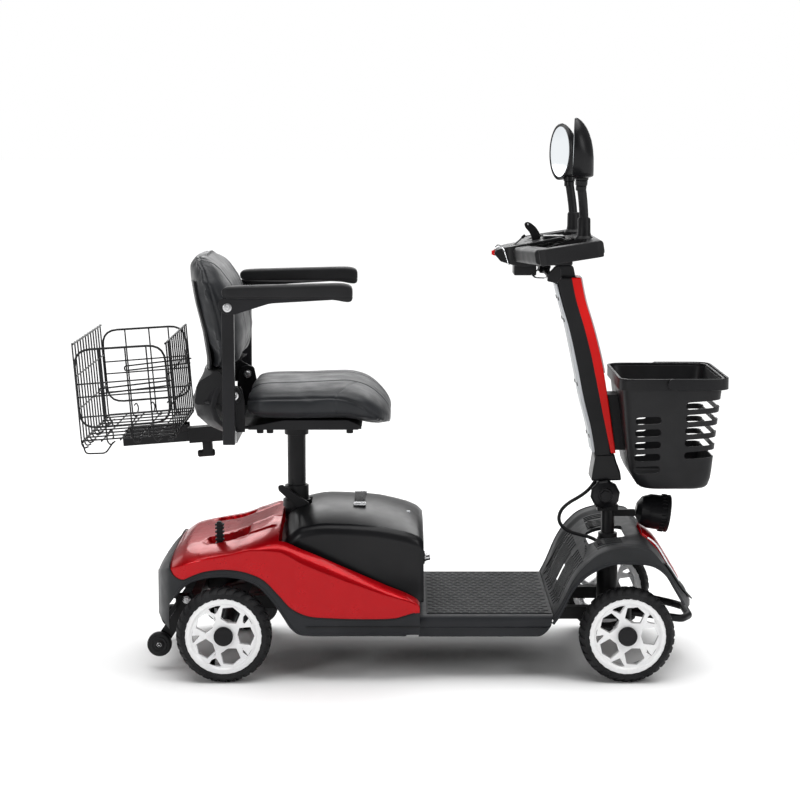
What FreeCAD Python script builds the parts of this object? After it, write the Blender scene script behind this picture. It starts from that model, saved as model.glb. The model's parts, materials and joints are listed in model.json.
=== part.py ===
"""Four-wheel mobility scooter, in millimetres.

+X is forward, +Y is the rider's left and +Z is up. The origin lies on the floor under the middle of the
bounding box. The seat faces forward, the backrest is up and the armrests are down.
"""
import FreeCAD, Part
import math
import os

import Sketcher

Vector = FreeCAD.Vector
Rotation = FreeCAD.Rotation
Placement = FreeCAD.Placement

ALONG_X = Vector(1, 0, 0)
ALONG_Y = Vector(0, 1, 0)
ALONG_Z = Vector(0, 0, 1)
SIDES = (("right", -1), ("left", 1))

DOC = FreeCAD.newDocument("mobility_scooter")

# Driving dimensions: floor is Z 0, places are along X and Z, widths are across Y.
DIMENSIONS = {
    "wheel_radius": 96,
    "tyre_width": 50,
    "rim_radius": 77,
    "rim_ring_inner": 66,
    "rim_width": 46,
    "half_track": 220,
    "rear_axle_x": -361,
    "front_axle_x": 447,
    "stub_radius": 8,
    "shaft_play": 0.4,
    "spoke_count": 5,
    "kingpin_y": 165,
    "steering_arm": 60,
    "column_x": 428,
    "column_radius": 14,
    "tilt_x": 417,
    "tilt_z": 350,
    "tilt_knob_radius": 27,
    "rail_z": 122,
    "rail_high": 28,
    "deck_rear_x": 32,
    "deck_front_x": 300,
    "deck_half_width": 212,
    "deck_top_z": 132,
    "skirt_bottom_z": 93,
    "mat_thickness": 3,
    "post_x": -224,
    "post_radius": 19,
    "socket_radius": 25,
    "socket_top_z": 363,
    "post_top_z": 486,
    "seat_half_width": 213,
    "cushion_front_x": -23,
    "cushion_rear_x": -316,
    "back_hinge_x": -338,
    "back_hinge_z": 575,
    "arm_y": 240,
    "arm_x": -345,
    "arm_pivot_z": 756,
    "arm_pad_front_x": -100,
    "bar_drop_angle": 4.5,
    "rear_basket_length": 186,
    "rear_basket_half_width": 200,
    "rear_basket_high": 190,
    "basket_wall": 5,
    "front_basket_top_z": 600,
    "front_basket_bottom_z": 374,
    "front_basket_half_width": 148,
    "shell_wall": 4,
    "antitip_x": -502,
    "antitip_z": 52,
    "antitip_radius": 25,
    "antitip_y": 125,
    "bar_tilt_angle": 9,
    "handlebar_high": 31,
    "cord_radius": 3.75,
}

SHEET = DOC.addObject("Spreadsheet::Sheet", "dims")
for row, (alias, number) in enumerate(DIMENSIONS.items(), start=1):
    SHEET.set(f"A{row}", alias)
    SHEET.set(f"B{row}", str(number))
    SHEET.setAlias(f"B{row}", alias)
DOC.recompute()


class Size:
    """A number together with the spreadsheet formula that gives it."""

    def __init__(self, value, text):
        self.value = float(value)
        self.text = text

    def __add__(self, other):
        other = size(other)
        return Size(self.value + other.value, f"({self.text} + {other.text})")

    def __sub__(self, other):
        other = size(other)
        return Size(self.value - other.value, f"({self.text} - {other.text})")

    def __mul__(self, other):
        other = size(other)
        return Size(self.value * other.value, f"({self.text} * {other.text})")

    def __truediv__(self, other):
        other = size(other)
        return Size(self.value / other.value, f"({self.text} / {other.text})")

    def __neg__(self):
        return Size(-self.value, f"(0 - {self.text})")

    def __radd__(self, other):
        return size(other) + self

    def __rsub__(self, other):
        return size(other) - self

    def __rmul__(self, other):
        return size(other) * self


def size(number):
    """A plain number or a Size, as a Size."""
    if isinstance(number, Size):
        return number
    return Size(number, f"({float(number):.6g})")


def dim(alias):
    """The driving dimension with this name."""
    return Size(DIMENSIONS[alias], f"dims.{alias}")


def bind(thing, path, number):
    """Ties one property of a document object to its formula."""
    thing.setExpression(path, size(number).text)


def vector(point):
    """A FreeCAD vector at a point whose coordinates may be Sizes."""
    return Vector(*[size(number).value for number in point])


def place(thing, point, turn=None):
    """Places an object at a point, with its coordinates bound, and turned if a rotation is given."""
    thing.Placement = Placement(vector(point), turn or Rotation())
    for letter, number in zip("xyz", point):
        bind(thing, f"Placement.Base.{letter}", number)
    return thing


NAMES = {}


def name_for(stem):
    """A new object name that starts with stem."""
    NAMES[stem] = NAMES.get(stem, 0) + 1
    return f"{stem}_{NAMES[stem]:02d}"


def box(low, high):
    """A box between two opposite corners."""
    made = DOC.addObject("Part::Box", name_for("block"))
    for side, start, end in zip(("Length", "Width", "Height"), low, high):
        bind(made, side, size(end) - start)
    return place(made, low)


def tilted_box(low, high, corner, turn):
    """A box between two corners of a frame that is turned about a point of the object."""
    made = box(low, high)
    local = vector(low)
    start = vector(corner) + turn.multVec(local)
    made.setExpression("Placement.Base.x", None)
    made.setExpression("Placement.Base.y", None)
    made.setExpression("Placement.Base.z", None)
    made.Placement = Placement(start, turn)
    return made


def rod(radius, start, end):
    """A round bar from one point to another."""
    first = vector(start)
    last = vector(end)
    made = DOC.addObject("Part::Cylinder", name_for("bar"))
    bind(made, "Radius", radius)
    along = [(size(b) - a) for a, b in zip(start, end) if abs(size(a).value - size(b).value) > 1e-9]
    if len(along) == 1:
        length = along[0] if along[0].value > 0 else -along[0]
    else:
        length = (last - first).Length
    bind(made, "Height", length)
    return place(made, start, Rotation(ALONG_Z, last - first))


def cone(radius_low, radius_high, start, end):
    """A cone frustum from one point to another."""
    first = vector(start)
    last = vector(end)
    made = DOC.addObject("Part::Cone", name_for("taper"))
    bind(made, "Radius1", radius_low)
    bind(made, "Radius2", radius_high)
    bind(made, "Height", (last - first).Length)
    return place(made, start, Rotation(ALONG_Z, last - first))


def fuse(*pieces):
    """One solid made of several that overlap."""
    made = DOC.addObject("Part::MultiFuse", name_for("union"))
    made.Shapes = list(pieces)
    made.Refine = True
    return made


def cut(base, *tools):
    """A solid with tools taken out of it."""
    made = DOC.addObject("Part::Cut", name_for("cut"))
    made.Base = base
    made.Tool = tools[0] if len(tools) == 1 else group(*tools)
    return made


def common(first, second):
    """What two solids share."""
    made = DOC.addObject("Part::MultiCommon", name_for("shared"))
    made.Shapes = [first, second]
    return made


def group(*pieces):
    """Several separate solids as one object."""
    made = DOC.addObject("Part::Compound", name_for("set"))
    made.Links = list(pieces)
    return made


def new_body():
    return DOC.addObject("PartDesign::Body", name_for("body"))


def origin_plane(body, role):
    return next(plane for plane in body.Origin.OriginFeatures if plane.Role == role)


def outline(body, role, points, offset=None):
    """A closed sketch of straight lines whose corners are bound, on one of the body's own planes."""
    sketch = body.newObject("Sketcher::SketchObject", name_for("sketch"))
    sketch.AttachmentSupport = [(origin_plane(body, role), "")]
    sketch.MapMode = "FlatFace"
    if offset is not None:
        sketch.AttachmentOffset = Placement(Vector(0, 0, size(offset).value), Rotation())
        bind(sketch, "AttachmentOffset.Base.z", offset)
    corners = [(size(across), size(up)) for across, up in points]
    for here, there in zip(corners, corners[1:] + corners[:1]):
        start = Vector(here[0].value, here[1].value, 0)
        end = Vector(there[0].value, there[1].value, 0)
        sketch.addGeometry(Part.LineSegment(start, end), False)
    for index in range(len(corners)):
        following = (index + 1) % len(corners)
        sketch.addConstraint(Sketcher.Constraint("Coincident", index, 2, following, 1))
    for index, corner in enumerate(corners):
        for kind, number in zip(("DistanceX", "DistanceY"), corner):
            made = sketch.addConstraint(Sketcher.Constraint(kind, -1, 1, index, 1, number.value))
            bind(sketch, f"Constraints[{made}]", number)
    return sketch


PLANES = {"side": "XZ_Plane", "plan": "XY_Plane", "front": "YZ_Plane"}
NORMALS = {"side": ALONG_Y, "plan": ALONG_Z, "front": ALONG_X}


def round_edges(body, base, radius, chosen):
    """Rounds the edges of a feature that the given test picks."""
    DOC.recompute()
    names = [f"Edge{count}" for count, edge in enumerate(base.Shape.Edges, start=1) if chosen(edge)]
    if not names:
        raise ValueError(f"no edge to round in {body.Name}")
    made = body.newObject("PartDesign::Fillet", name_for("round"))
    made.Base = (base, names)
    bind(made, "Radius", radius)
    DOC.recompute()
    return made


def extrude(view, points, low, high, rounds=None, rim=None):
    """An outline seen from the side, plan or front, given thickness between two planes.

    rounds maps a corner's place in the list to its radius, and rim rounds the edges of both end faces.
    """
    body = new_body()
    sketch = outline(body, PLANES[view], points)
    pad = body.newObject("PartDesign::Pad", name_for("pad"))
    pad.Profile = sketch
    pad.SideType = "Symmetric"
    bind(pad, "Length", size(high) - low)
    middle = (size(low) + high) / 2
    normal = NORMALS[view]
    place(body, [middle if axis else 0 for axis in normal])
    last = pad
    corners = [(size(across).value, size(up).value) for across, up in points]
    by_radius = {}
    for index, radius in (rounds or {}).items():
        by_radius.setdefault(radius, []).append(corners[index])

    def flat(point):
        return {"side": (point.x, point.z), "plan": (point.x, point.y), "front": (point.y, point.z)}[view]

    def across_ends(edge):
        ends = [vertex.Point for vertex in edge.Vertexes]
        return len(ends) == 2 and abs((ends[1] - ends[0]).dot(normal)) > 1e-6

    def along_ends(edge):
        places = [edge.valueAt(edge.FirstParameter + share * (edge.LastParameter - edge.FirstParameter))
                  .dot(normal) for share in (0, 0.5, 1)]
        return max(places) - min(places) < 1e-6

    for radius, wanted in by_radius.items():
        def at_corner(edge, wanted=wanted):
            if not across_ends(edge):
                return False
            here = flat(edge.Vertexes[0].Point)
            return any(math.dist(here, corner) < 0.01 for corner in wanted)

        last = round_edges(body, last, radius, at_corner)
    if rim is not None:
        round_edges(body, last, rim, along_ends)
    return body


def revolve(profile, centre, axis):
    """A ring or disc: the profile gives (radius, place along the axis) and turns about the axis."""
    body = new_body()
    sketch = outline(body, "XZ_Plane", profile)
    turned = body.newObject("PartDesign::Revolution", name_for("turn"))
    turned.Profile = sketch
    turned.ReferenceAxis = (sketch, ["V_Axis"])
    turned.Angle = 360
    return place(body, centre, Rotation(ALONG_Z, axis))


def arch_section(half_width, low, shoulder, crown, steps=4):
    """Half-round hood section across Y: upright sides, then an elliptic crown over the shoulders."""
    points = [(-size(half_width), low)]
    for step in range(2 * steps + 1):
        angle = math.pi * (1 - step / (2 * steps))
        points.append((size(half_width) * math.cos(angle),
                       shoulder + (size(crown) - shoulder) * math.sin(angle)))
    points.append((size(half_width), low))
    return points


def hood(stations, inset=0, drop=0, open_end=None):
    """A loft through hood sections, shrunk by inset and let down by drop.

    open_end, 0 or -1, is the end where a cavity runs out through the face instead of leaving a wall.
    """
    body = new_body()
    sketches = []
    for count, (x, half_width, low, shoulder, crown) in enumerate(stations):
        shift = 0
        if count == 0:
            shift = -1 if open_end == 0 else inset
        elif count == len(stations) - 1:
            shift = 1 if open_end == -1 else -inset
        section = arch_section(size(half_width) - inset, size(low) - drop, size(shoulder) - inset,
                               size(crown) - inset)
        sketches.append(outline(body, "YZ_Plane", section, size(x) + shift))
    loft = body.newObject("PartDesign::AdditiveLoft", name_for("loft"))
    loft.Profile = sketches[0]
    loft.Sections = sketches[1:]
    loft.Ruled = True
    return body


def path_wire(points, radii):
    """Straight runs between points, joined by tangent arcs."""
    corners = [vector(point) for point in points]
    edges = []
    start = corners[0]
    for before, corner, after, radius in zip(corners, corners[1:], corners[2:], radii):
        inward = (before - corner).normalize()
        outward = (after - corner).normalize()
        turn = math.pi - inward.getAngle(outward)
        reach = radius * math.tan(turn / 2)
        first = corner + inward * reach
        last = corner + outward * reach
        middle_way = (inward + outward).normalize()
        centre_distance = radius / math.cos(turn / 2)
        middle = corner + middle_way * (centre_distance - radius)
        edges.append(Part.LineSegment(start, first).toShape())
        edges.append(Part.Arc(first, middle, last).toShape())
        start = last
    edges.append(Part.LineSegment(start, corners[-1]).toShape())
    return Part.Wire(edges)


def pipe(radius, points, bend):
    """A round tube, solid, along straight runs with bends of one radius."""
    spine = DOC.addObject("Part::Feature", name_for("route"))
    spine.Shape = path_wire(points, [bend] * (len(points) - 2))
    start = vector(points[0])
    ring = DOC.addObject("Part::Circle", name_for("ring"))
    bind(ring, "Radius", radius)
    ring.Placement = Placement(start, Rotation(ALONG_Z, vector(points[1]) - start))
    made = DOC.addObject("Part::Sweep", name_for("tube"))
    made.Sections = [ring]
    made.Spine = (spine, [f"Edge{count + 1}" for count in range(len(spine.Shape.Edges))])
    made.Solid = True
    return made


def dome(high, wide, deep, corners=20):
    """Half of an egg shape: flat and oval at X 0, where its half sizes are high and wide, and deep along X."""
    body = new_body()
    sketches = []
    for share in (0, 0.35, 0.65, 0.86, 0.97):
        shrink = math.sqrt(1 - share ** 2)
        section = [(wide * shrink * math.cos(2 * math.pi * count / corners),
                    high * shrink * math.sin(2 * math.pi * count / corners)) for count in range(corners)]
        sketches.append(outline(body, "YZ_Plane", section, deep * share))
    loft = body.newObject("PartDesign::AdditiveLoft", name_for("loft"))
    loft.Profile = sketches[0]
    loft.Sections = sketches[1:]
    loft.Ruled = True
    return body


NODES = {}


def node(label, thing):
    """Gives a finished sub-part its label and keeps it for writing."""
    thing.Label = label
    NODES[label] = thing
    return thing


# ---------------------------------------------------------------- wheels
WHEEL_Z = dim("wheel_radius")
WHEELS = [(f"{end}_{side}", dim(f"{end}_axle_x"), sign) for end in ("rear", "front") for side,
          sign in SIDES]


def polar_window(sketch_points, body):
    """Cuts one window right through the rim and repeats it once for each spoke."""
    sketch = outline(body, "XY_Plane", sketch_points)
    window = body.newObject("PartDesign::Pocket", name_for("window"))
    window.Profile = sketch
    window.Type = "ThroughAll"
    window.SideType = "Symmetric"
    DOC.recompute()
    pattern = body.newObject("PartDesign::PolarPattern", name_for("windows"))
    pattern.Originals = [window]
    pattern.Axis = (sketch, ["N_Axis"])
    pattern.Angle = 360
    bind(pattern, "Occurrences", dim("spoke_count"))
    body.Tip = pattern
    DOC.recompute()
    return pattern


def spread(angle, radius):
    """The point at a radius and an angle in degrees."""
    return (radius * math.cos(math.radians(angle)), radius * math.sin(math.radians(angle)))


for wheel, axle_x, sign in WHEELS:
    half = dim("tyre_width") / 2
    outer = dim("wheel_radius")
    bead = dim("rim_radius") + 0.2
    tyre_profile = [(bead, -half + 2), (bead + 6, -half), (outer - 7, -half), (outer - 1.5, -half + 8),
                    (outer, 0), (outer - 1.5, half - 8), (outer - 7, half), (bead + 6, half),
                    (bead, half - 2)]
    centre = (axle_x, sign * dim("half_track"), WHEEL_Z)
    node(f"{wheel}_tyre", revolve(tyre_profile, centre, ALONG_Y * sign))
    bore = dim("stub_radius") + dim("shaft_play")
    edge = dim("rim_width") / 2
    ring = dim("rim_ring_inner")
    rim_profile = [(bore, -edge), (26, -edge), (26, edge - 22), (ring, edge - 15), (ring, -edge + 2),
                   (dim("rim_radius"), -edge), (dim("rim_radius"), edge), (ring + 2, edge),
                   (ring - 2, edge - 4),
                   (26, edge - 6), (bore, edge - 6)]
    rim = revolve(rim_profile, centre, ALONG_Y * sign)
    near_hub = [spread(0, 27), spread(27, 36), spread(19, 57), spread(0, 62), spread(-19, 57),
                spread(-27, 36)]
    polar_window(near_hub, rim)
    in_fork = [spread(36, 48), spread(49, 62), spread(36, 63.5), spread(23, 62)]
    polar_window(in_fork, rim)
    node(f"{wheel}_rim", rim)

# ---------------------------------------------------------------- frames
RAIL_LOW = dim("rail_z")
RAIL_TOP = dim("rail_z") + dim("rail_high")
RAIL_IN = 82.5
FRAME_SPLIT_X = -40

post_x = dim("post_x")
rear_rails = [box((-470, sign * 95 - 12.5, RAIL_LOW), (FRAME_SPLIT_X - 0.5, sign * 95 + 12.5, RAIL_TOP))
              for side, sign in SIDES]
rear_cross = box((post_x - 26, -RAIL_IN - 5, RAIL_LOW), (post_x + 26, RAIL_IN + 5, RAIL_TOP))
tail_cross = box((-440, -RAIL_IN - 5, RAIL_LOW), (-420, RAIL_IN + 5, RAIL_TOP))
socket = rod(dim("socket_radius"), (post_x, 0, RAIL_LOW + 4), (post_x, 0, dim("socket_top_z")))
collar = rod(dim("socket_radius") + 4, (post_x, 0, dim("socket_top_z") - 46),
             (post_x, 0, dim("socket_top_z") - 30))
gussets = [extrude("side", [(post_x + 18, RAIL_TOP - 3), (post_x + 30, RAIL_TOP - 3), (post_x + 18, 200)],
                   -3, 3),
           box((post_x + 18, -4, RAIL_LOW), (FRAME_SPLIT_X - 20, 4, RAIL_TOP - 2))]
middle_cross = box((FRAME_SPLIT_X - 24, -RAIL_IN - 5, RAIL_LOW),
                   (FRAME_SPLIT_X - 4, RAIL_IN + 5, RAIL_TOP - 1))
post_bore = rod(dim("post_radius") + 0.4, (post_x, 0, RAIL_TOP + 8), (post_x, 0, 400))
node("rear_frame", cut(fuse(*rear_rails, rear_cross, tail_cross, socket, collar, *gussets, middle_cross),
                       post_bore))

axle_x = dim("front_axle_x")
column_x = dim("column_x")
kingpin_y = dim("kingpin_y")
front_rails = [box((FRAME_SPLIT_X, sign * 95 - 12.5, 100), (axle_x - 4, sign * 95 + 12.5, RAIL_LOW + 3))
               for side, sign in SIDES]
rail_joints = [box((FRAME_SPLIT_X, sign * 95 - 12.5, 100),
                   (FRAME_SPLIT_X + 14, sign * 95 + 12.5, RAIL_TOP - 2))
               for side, sign in SIDES]
deck_cross = box((120, -RAIL_IN - 4, 102), (145, RAIL_IN + 4, 122))
axle_beam = box((axle_x - 12, -kingpin_y + 6, 118), (axle_x + 12, kingpin_y - 6, 142))
sleeves = [rod(15, (axle_x, sign * kingpin_y, 101), (axle_x, sign * kingpin_y, 168)) for side,
           sign in SIDES]
head_tube = rod(22, (column_x, 0, 116), (column_x, 0, 250))
head_brace = extrude("side", [(column_x + 12, 140), (column_x + 60, 120), (column_x + 60, 118),
                              (axle_x - 2, 118), (column_x + 12, 230)], -5, 5)
bumper_tube = pipe(8, [(400, -95, 112), (470, -95, 112), (578, -70, 92), (596, -40, 92), (596, 40, 92),
                       (578, 70, 92), (470, 95, 112), (400, 95, 112)], 22)
column_bore = rod(dim("column_radius") + 0.4, (column_x, 0, 60), (column_x, 0, 300))
kingpin_bores = [rod(8.4, (axle_x, sign * kingpin_y, 60), (axle_x, sign * kingpin_y, 200)) for side,
                 sign in SIDES]
node("front_frame", cut(fuse(*front_rails, *rail_joints, deck_cross, axle_beam, *sleeves, head_tube,
                             head_brace,
                             bumper_tube), column_bore, *kingpin_bores))

# ---------------------------------------------------------------- steering knuckles and tie rod
arm_x = axle_x - dim("steering_arm")
for side, sign in SIDES:
    pin_y = sign * kingpin_y
    block = box((axle_x - 14, pin_y - 15, 74), (axle_x + 14, pin_y + 15, 99.5))
    boss_span = sorted((pin_y + sign * 14, pin_y + sign * 27), key=lambda edge: edge.value)
    shoulder = sorted((pin_y + sign * 19, pin_y + sign * 27), key=lambda edge: edge.value)
    boss = box((axle_x - 14, boss_span[0], 78), (axle_x + 14, boss_span[1], 99.5))
    riser = box((axle_x - 14, shoulder[0], 78), (axle_x + 14, shoulder[1], 112))
    kingpin = rod(8, (axle_x, pin_y, 90), (axle_x, pin_y, 170))
    nut = rod(11, (axle_x, pin_y, 168.6), (axle_x, pin_y, 176))
    stub = rod(dim("stub_radius"), (axle_x, pin_y + sign * 20, WHEEL_Z), (axle_x, sign * 238, WHEEL_Z))
    steering_arm = box((arm_x - 9, pin_y - 8, 90), (axle_x, pin_y + 8, 98))
    pin = rod(4, (arm_x, pin_y, 79), (arm_x, pin_y, 92))
    node(f"knuckle_{side}", fuse(block, boss, riser, kingpin, nut, stub, steering_arm, pin))

pitman_x = column_x - dim("steering_arm")
tie_bar = rod(5, (arm_x, -kingpin_y + 4, 84), (arm_x, kingpin_y - 4, 84))
tie_eyes = [rod(10, (arm_x, sign * kingpin_y, 80), (arm_x, sign * kingpin_y, 88)) for side, sign in SIDES]
tie_tab = box((pitman_x - 12, -9, 80), (arm_x + 2, 9, 88))
tie_holes = [rod(4.4, (arm_x, sign * kingpin_y, 70), (arm_x, sign * kingpin_y, 100)) for side,
             sign in SIDES]
pitman_hole = rod(4.4, (pitman_x, 0, 70), (pitman_x, 0, 100))
node("tie_rod", cut(fuse(tie_bar, *tie_eyes, tie_tab), *tie_holes, pitman_hole))

# ---------------------------------------------------------------- steering column and headlight
tilt_x = dim("tilt_x")
tilt_z = dim("tilt_z")
shaft = rod(dim("column_radius"), (column_x, 0, 92), (column_x, 0, 322))
shaft_ring = rod(20, (column_x, 0, 251), (column_x, 0, 261))
pitman_arm = box((pitman_x - 9, -9, 92), (column_x, 9, 99.5))
pitman_pin = rod(4, (pitman_x, 0, 79), (pitman_x, 0, 94))
yoke = box((tilt_x - 14, -33, 312), (column_x + 18, 33, 326))
cheeks = [fuse(rod(22, (tilt_x, 22 * sign, tilt_z), (tilt_x, 33 * sign, tilt_z)),
               box((tilt_x - 18, min(22 * sign, 33 * sign), 320),
                   (tilt_x + 18, max(22 * sign, 33 * sign), tilt_z))) for side, sign in SIDES]
lamp_x = 552
lamp_z = 301
lamp_arm = box((column_x + 8, -6, 296), (484.5, 6, 310))
bolt_hole = rod(6.6, (tilt_x, -60, tilt_z), (tilt_x, 60, tilt_z))
node("steering_column", cut(fuse(shaft, shaft_ring, pitman_arm, pitman_pin, yoke, *cheeks, lamp_arm),
                            bolt_hole))

lamp_axis = Vector(1, 0, -0.14)
bucket_profile = [(0, -66), (14, -66), (29, -56), (36, -38), (37, -4), (38.5, -4), (38.5, 0), (34, 0),
                  (31, -8),
                  (26, -28), (0, -36)]
bucket = revolve(bucket_profile, (lamp_x, 0, lamp_z), lamp_axis)
node("headlight_shell", bucket)

# ---------------------------------------------------------------- deck
deck_half = dim("deck_half_width")
deck_top = dim("deck_top_z")
deck_low = dim("skirt_bottom_z")
deck_outer = extrude("plan", [(dim("deck_rear_x"), -deck_half), (dim("deck_front_x"), -deck_half),
                              (dim("deck_front_x"), deck_half), (dim("deck_rear_x"), deck_half)],
                     deck_low, deck_top)
deck_hollow = box((dim("deck_rear_x") - 5, 5 - deck_half, deck_low - 5),
                  (dim("deck_front_x") + 5, deck_half - 5,
                                                                       deck_top - 5))
node("deck_pan", cut(deck_outer, deck_hollow))
mat_half = deck_half - 14
mat = extrude("plan", [(dim("deck_rear_x") + 14, -mat_half), (dim("deck_front_x") - 2, -mat_half),
                       (dim("deck_front_x") - 2, mat_half), (dim("deck_rear_x") + 14, mat_half)],
              deck_top, deck_top + dim("mat_thickness"), {0: 10, 1: 4, 2: 4, 3: 10})
node("deck_mat", mat)

# ---------------------------------------------------------------- front cowl with fenders
wall = dim("shell_wall")
COWL = [  # x, half width, low, shoulder, crown
    (dim("deck_front_x") + 0.4, deck_half + 3, deck_low, deck_top + 1, deck_top),
    (312, 224, 93, 152, 142),
    (341, 236, 93, 214, 196),
    (363, 241, 93, 243, 228),
    (388, 244, 93, 263, 252),
    (412, 244, 93, 272, 262),
    (440, 244, 93, 277, 265),
    (486, 242, 93, 272, 270),
    (520, 232, 93, 238, 246),
    (552, 208, 93, 190, 200),
    (577, 160, 93, 158, 166),
    (590, 96, 93, 140, 150),
]
cowl_solid = cut(hood(COWL), hood(COWL, wall, 12, open_end=0))
wheel_opening = extrude("side", [(300.2, 60), (300.2, 95), (312, 130), (334, 186), (364, 220), (408, 243),
                                 (494, 241), (522, 222), (545, 186), (566, 150), (600, 118), (640, 118),
                                 (640, 60)], -260, 260)
column_hole = extrude("plan", [(384, -60), (462, -60), (462, 60), (384, 60)], 230, 330,
                      {0: 14, 1: 14, 2: 14, 3: 14})
slats = [box((394, sign * across - 3, 235), (438, sign * across + 3, 300))
         for across in (78, 94, 110) for side, sign in SIDES]
ramp_holes = [box((316 + 9 * step, sign * 140 - 6, 100), (321 + 9 * step, sign * 140 + 6, 300))
              for step in range(5) for side, sign in SIDES]
nose_seat = extrude("plan", [(494, -52), (600, -38), (600, 38), (494, 52)], 100, 300)
nose_above = extrude("side", [(494, 246), (494, 320), (640, 320), (640, 150), (574, 150), (548, 184),
                              (519, 231)], -60, 60)
nose_cutter = common(nose_seat, nose_above)
node("front_cowl", cut(cowl_solid, wheel_opening, column_hole, *slats, *ramp_holes, nose_cutter))

NOSE = [(494.5, 51, 93, 264, 275), (521, 48, 93, 242, 250), (552, 44, 93, 192, 203),
        (574.5, 41, 93, 160, 170)]
nose_skin = cut(hood(NOSE), hood(NOSE, 3, 12))
nose_band = extrude("side", [(494.6, 247), (494.6, 300), (574, 300), (574, 151), (548, 185), (519, 232)],
                    -60, 60)
nose_plan = extrude("plan", [(494.6, -51), (574.4, -40.6), (574.4, 40.6), (494.6, 51)], 100, 300)
node("nose_panel", common(common(nose_skin, nose_band), nose_plan))

# ---------------------------------------------------------------- rear body, skirt and battery
REAR = [  # x, half width, low, shoulder, crown
    (-506, 96, 112, 196, 204),
    (-492, 158, 112, 210, 224),
    (-470, 196, 98, 222, 246),
    (-440, 214, 93, 234, 266),
    (-400, 222, 93, 246, 272),
    (-350, 226, 93, 256, 280),
    (-300, 228, 93, 266, 298),
    (-252, 228, 93, 262, 314),
    (-200, 229, 93, 236, 300),
    (-120, 230, 93, 204, 262),
    (-40, 230, 93, 176, 220),
    (26, 230, 93, 156, 180),
    (31.5, 228, 93, 150, 172),
]
rear_shell = cut(hood(REAR), hood(REAR, wall, 12, open_end=-1))
rear_arch = extrude("side", [(-474, 60), (-474, 150), (-436, 198), (-400, 212), (-361, 216), (-322, 211),
                             (-290, 196), (-262, 166), (-240, 134), (-222, 108), (-204, 92), (-204, 60)],
                    -260, 260)
case_pocket = box((-251, -207, 110), (60, 207, 400))
lever_slot = box((-402, -142, 200), (-345, -118, 320))
BELOW_SEAM = [(-560, 60), (-560, 300), (-447, 300), (-452, 262), (-480, 208), (-464, 188), (-440, 212),
              (-400, 226), (-361, 229), (-322, 225), (-284, 208), (-252, 176), (-228, 150), (-196, 134),
              (-148, 129), (-18, 129), (0, 134), (26, 141), (60, 141), (60, 60)]
seam_low = extrude("side", BELOW_SEAM, -270, 270)
seam_high = extrude("side", BELOW_SEAM, -270, 270)
opened_shell = cut(rear_shell, rear_arch, case_pocket)
node("rear_skirt", common(opened_shell, seam_low))
node("rear_body", cut(opened_shell, seam_high, lever_slot))

CASE = [  # x, half width, low, shoulder, crown
    (-249, 168, 152, 240, 296),
    (-236, 184, 152, 262, 318),
    (-205, 192, 152, 284, 334),
    (-155, 194, 152, 292, 342),
    (-70, 194, 152, 288, 338),
    (0, 192, 152, 276, 322),
    (28, 188, 152, 266, 308),
    (40, 180, 152, 256, 296),
]
case_notch = box((-260, -46, 100), (post_x + 32, 46, 400))
case_inner = box((-190, -150, 158), (30, 150, 270))
node("battery_case", cut(hood(CASE), case_notch, case_inner))
cells = box((-180, -140, 160), (20, 140, 262))
node("battery_cells", cells)
strap = extrude("front", [(-66, 337), (-58, 343.5), (0, 345.5), (58, 343.5), (66, 337), (66, 341),
                          (59, 348), (0, 350), (-59, 348), (-66, 341)], -103, -81)
node("battery_strap", strap)
socket_profile = [(4, -0.3), (4, 11), (6.5, 12), (7.5, 11), (7.5, 3), (9, 2), (9, -0.3)]
SOCKET_TIP_UP = 9
socket_axis = Vector(math.cos(math.radians(SOCKET_TIP_UP)), 0, math.sin(math.radians(SOCKET_TIP_UP)))
node("charge_socket", revolve(socket_profile, (41.9, -100, 228), socket_axis))

# ---------------------------------------------------------------- transaxle, freewheel and anti-tip
rear_x = dim("rear_axle_x")
axle_tube = rod(14, (rear_x, -188, WHEEL_Z), (rear_x, 188, WHEEL_Z))
half_shaft = rod(dim("stub_radius"), (rear_x, -238, WHEEL_Z), (rear_x, 238, WHEEL_Z))
gear_case = extrude("side", [(-398, 66), (-372, 56), (-340, 58), (-262, 92), (-262, 148), (-320, 150),
                             (-380, 136), (-398, 118)], 34, 76, {0: 12, 1: 12, 2: 12, 3: 10, 4: 10, 5: 10,
                                                                6: 12, 7: 12}, 4)
motor = rod(34, (-296, -66, 116), (-296, 36, 116))
motor_cap = rod(26, (-296, -76, 116), (-296, -62, 116))
node("transaxle", fuse(axle_tube, half_shaft, gear_case, motor, motor_cap))

freewheel = extrude("side", [(-381, 232), (-369, 232), (-369, 304), (-373, 309), (-381, 309)], -136, -124,
                    {2: 2, 3: 3, 4: 3})
node("freewheel_lever", freewheel)

arm_pairs = []
for side, sign in SIDES:
    near = min(108.3 * sign, 115 * sign)
    far = max(108.3 * sign, 115 * sign)
    plate = extrude("side", [(-458, 150), (-434, 158), (-428, 138), (-490, 44), (-505, 38), (-514, 50),
                             (-510, 62),
                             (-462, 132)], near, far, {0: 6, 1: 6, 2: 6, 4: 6, 5: 6, 6: 6})
    bolt = rod(4, (dim("antitip_x"), sign * 110, dim("antitip_z")), (dim("antitip_x"), sign * 138,
                                                                     dim("antitip_z")))
    head = rod(9, (-446, sign * 112, 144), (-446, sign * 122, 144))
    arm_pairs.append(fuse(plate, bolt, head))
    wheel_profile = [(4.4, -9), (dim("antitip_radius") - 3, -9), (dim("antitip_radius"), -6),
                     (dim("antitip_radius"), 6), (dim("antitip_radius") - 3, 9), (4.4, 9)]
    node(f"anti_tip_wheel_{side}", revolve(wheel_profile, (dim("antitip_x"), sign * dim("antitip_y"),
                                                           dim("antitip_z")), ALONG_Y))
node("anti_tip_arms", group(*arm_pairs))

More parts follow.
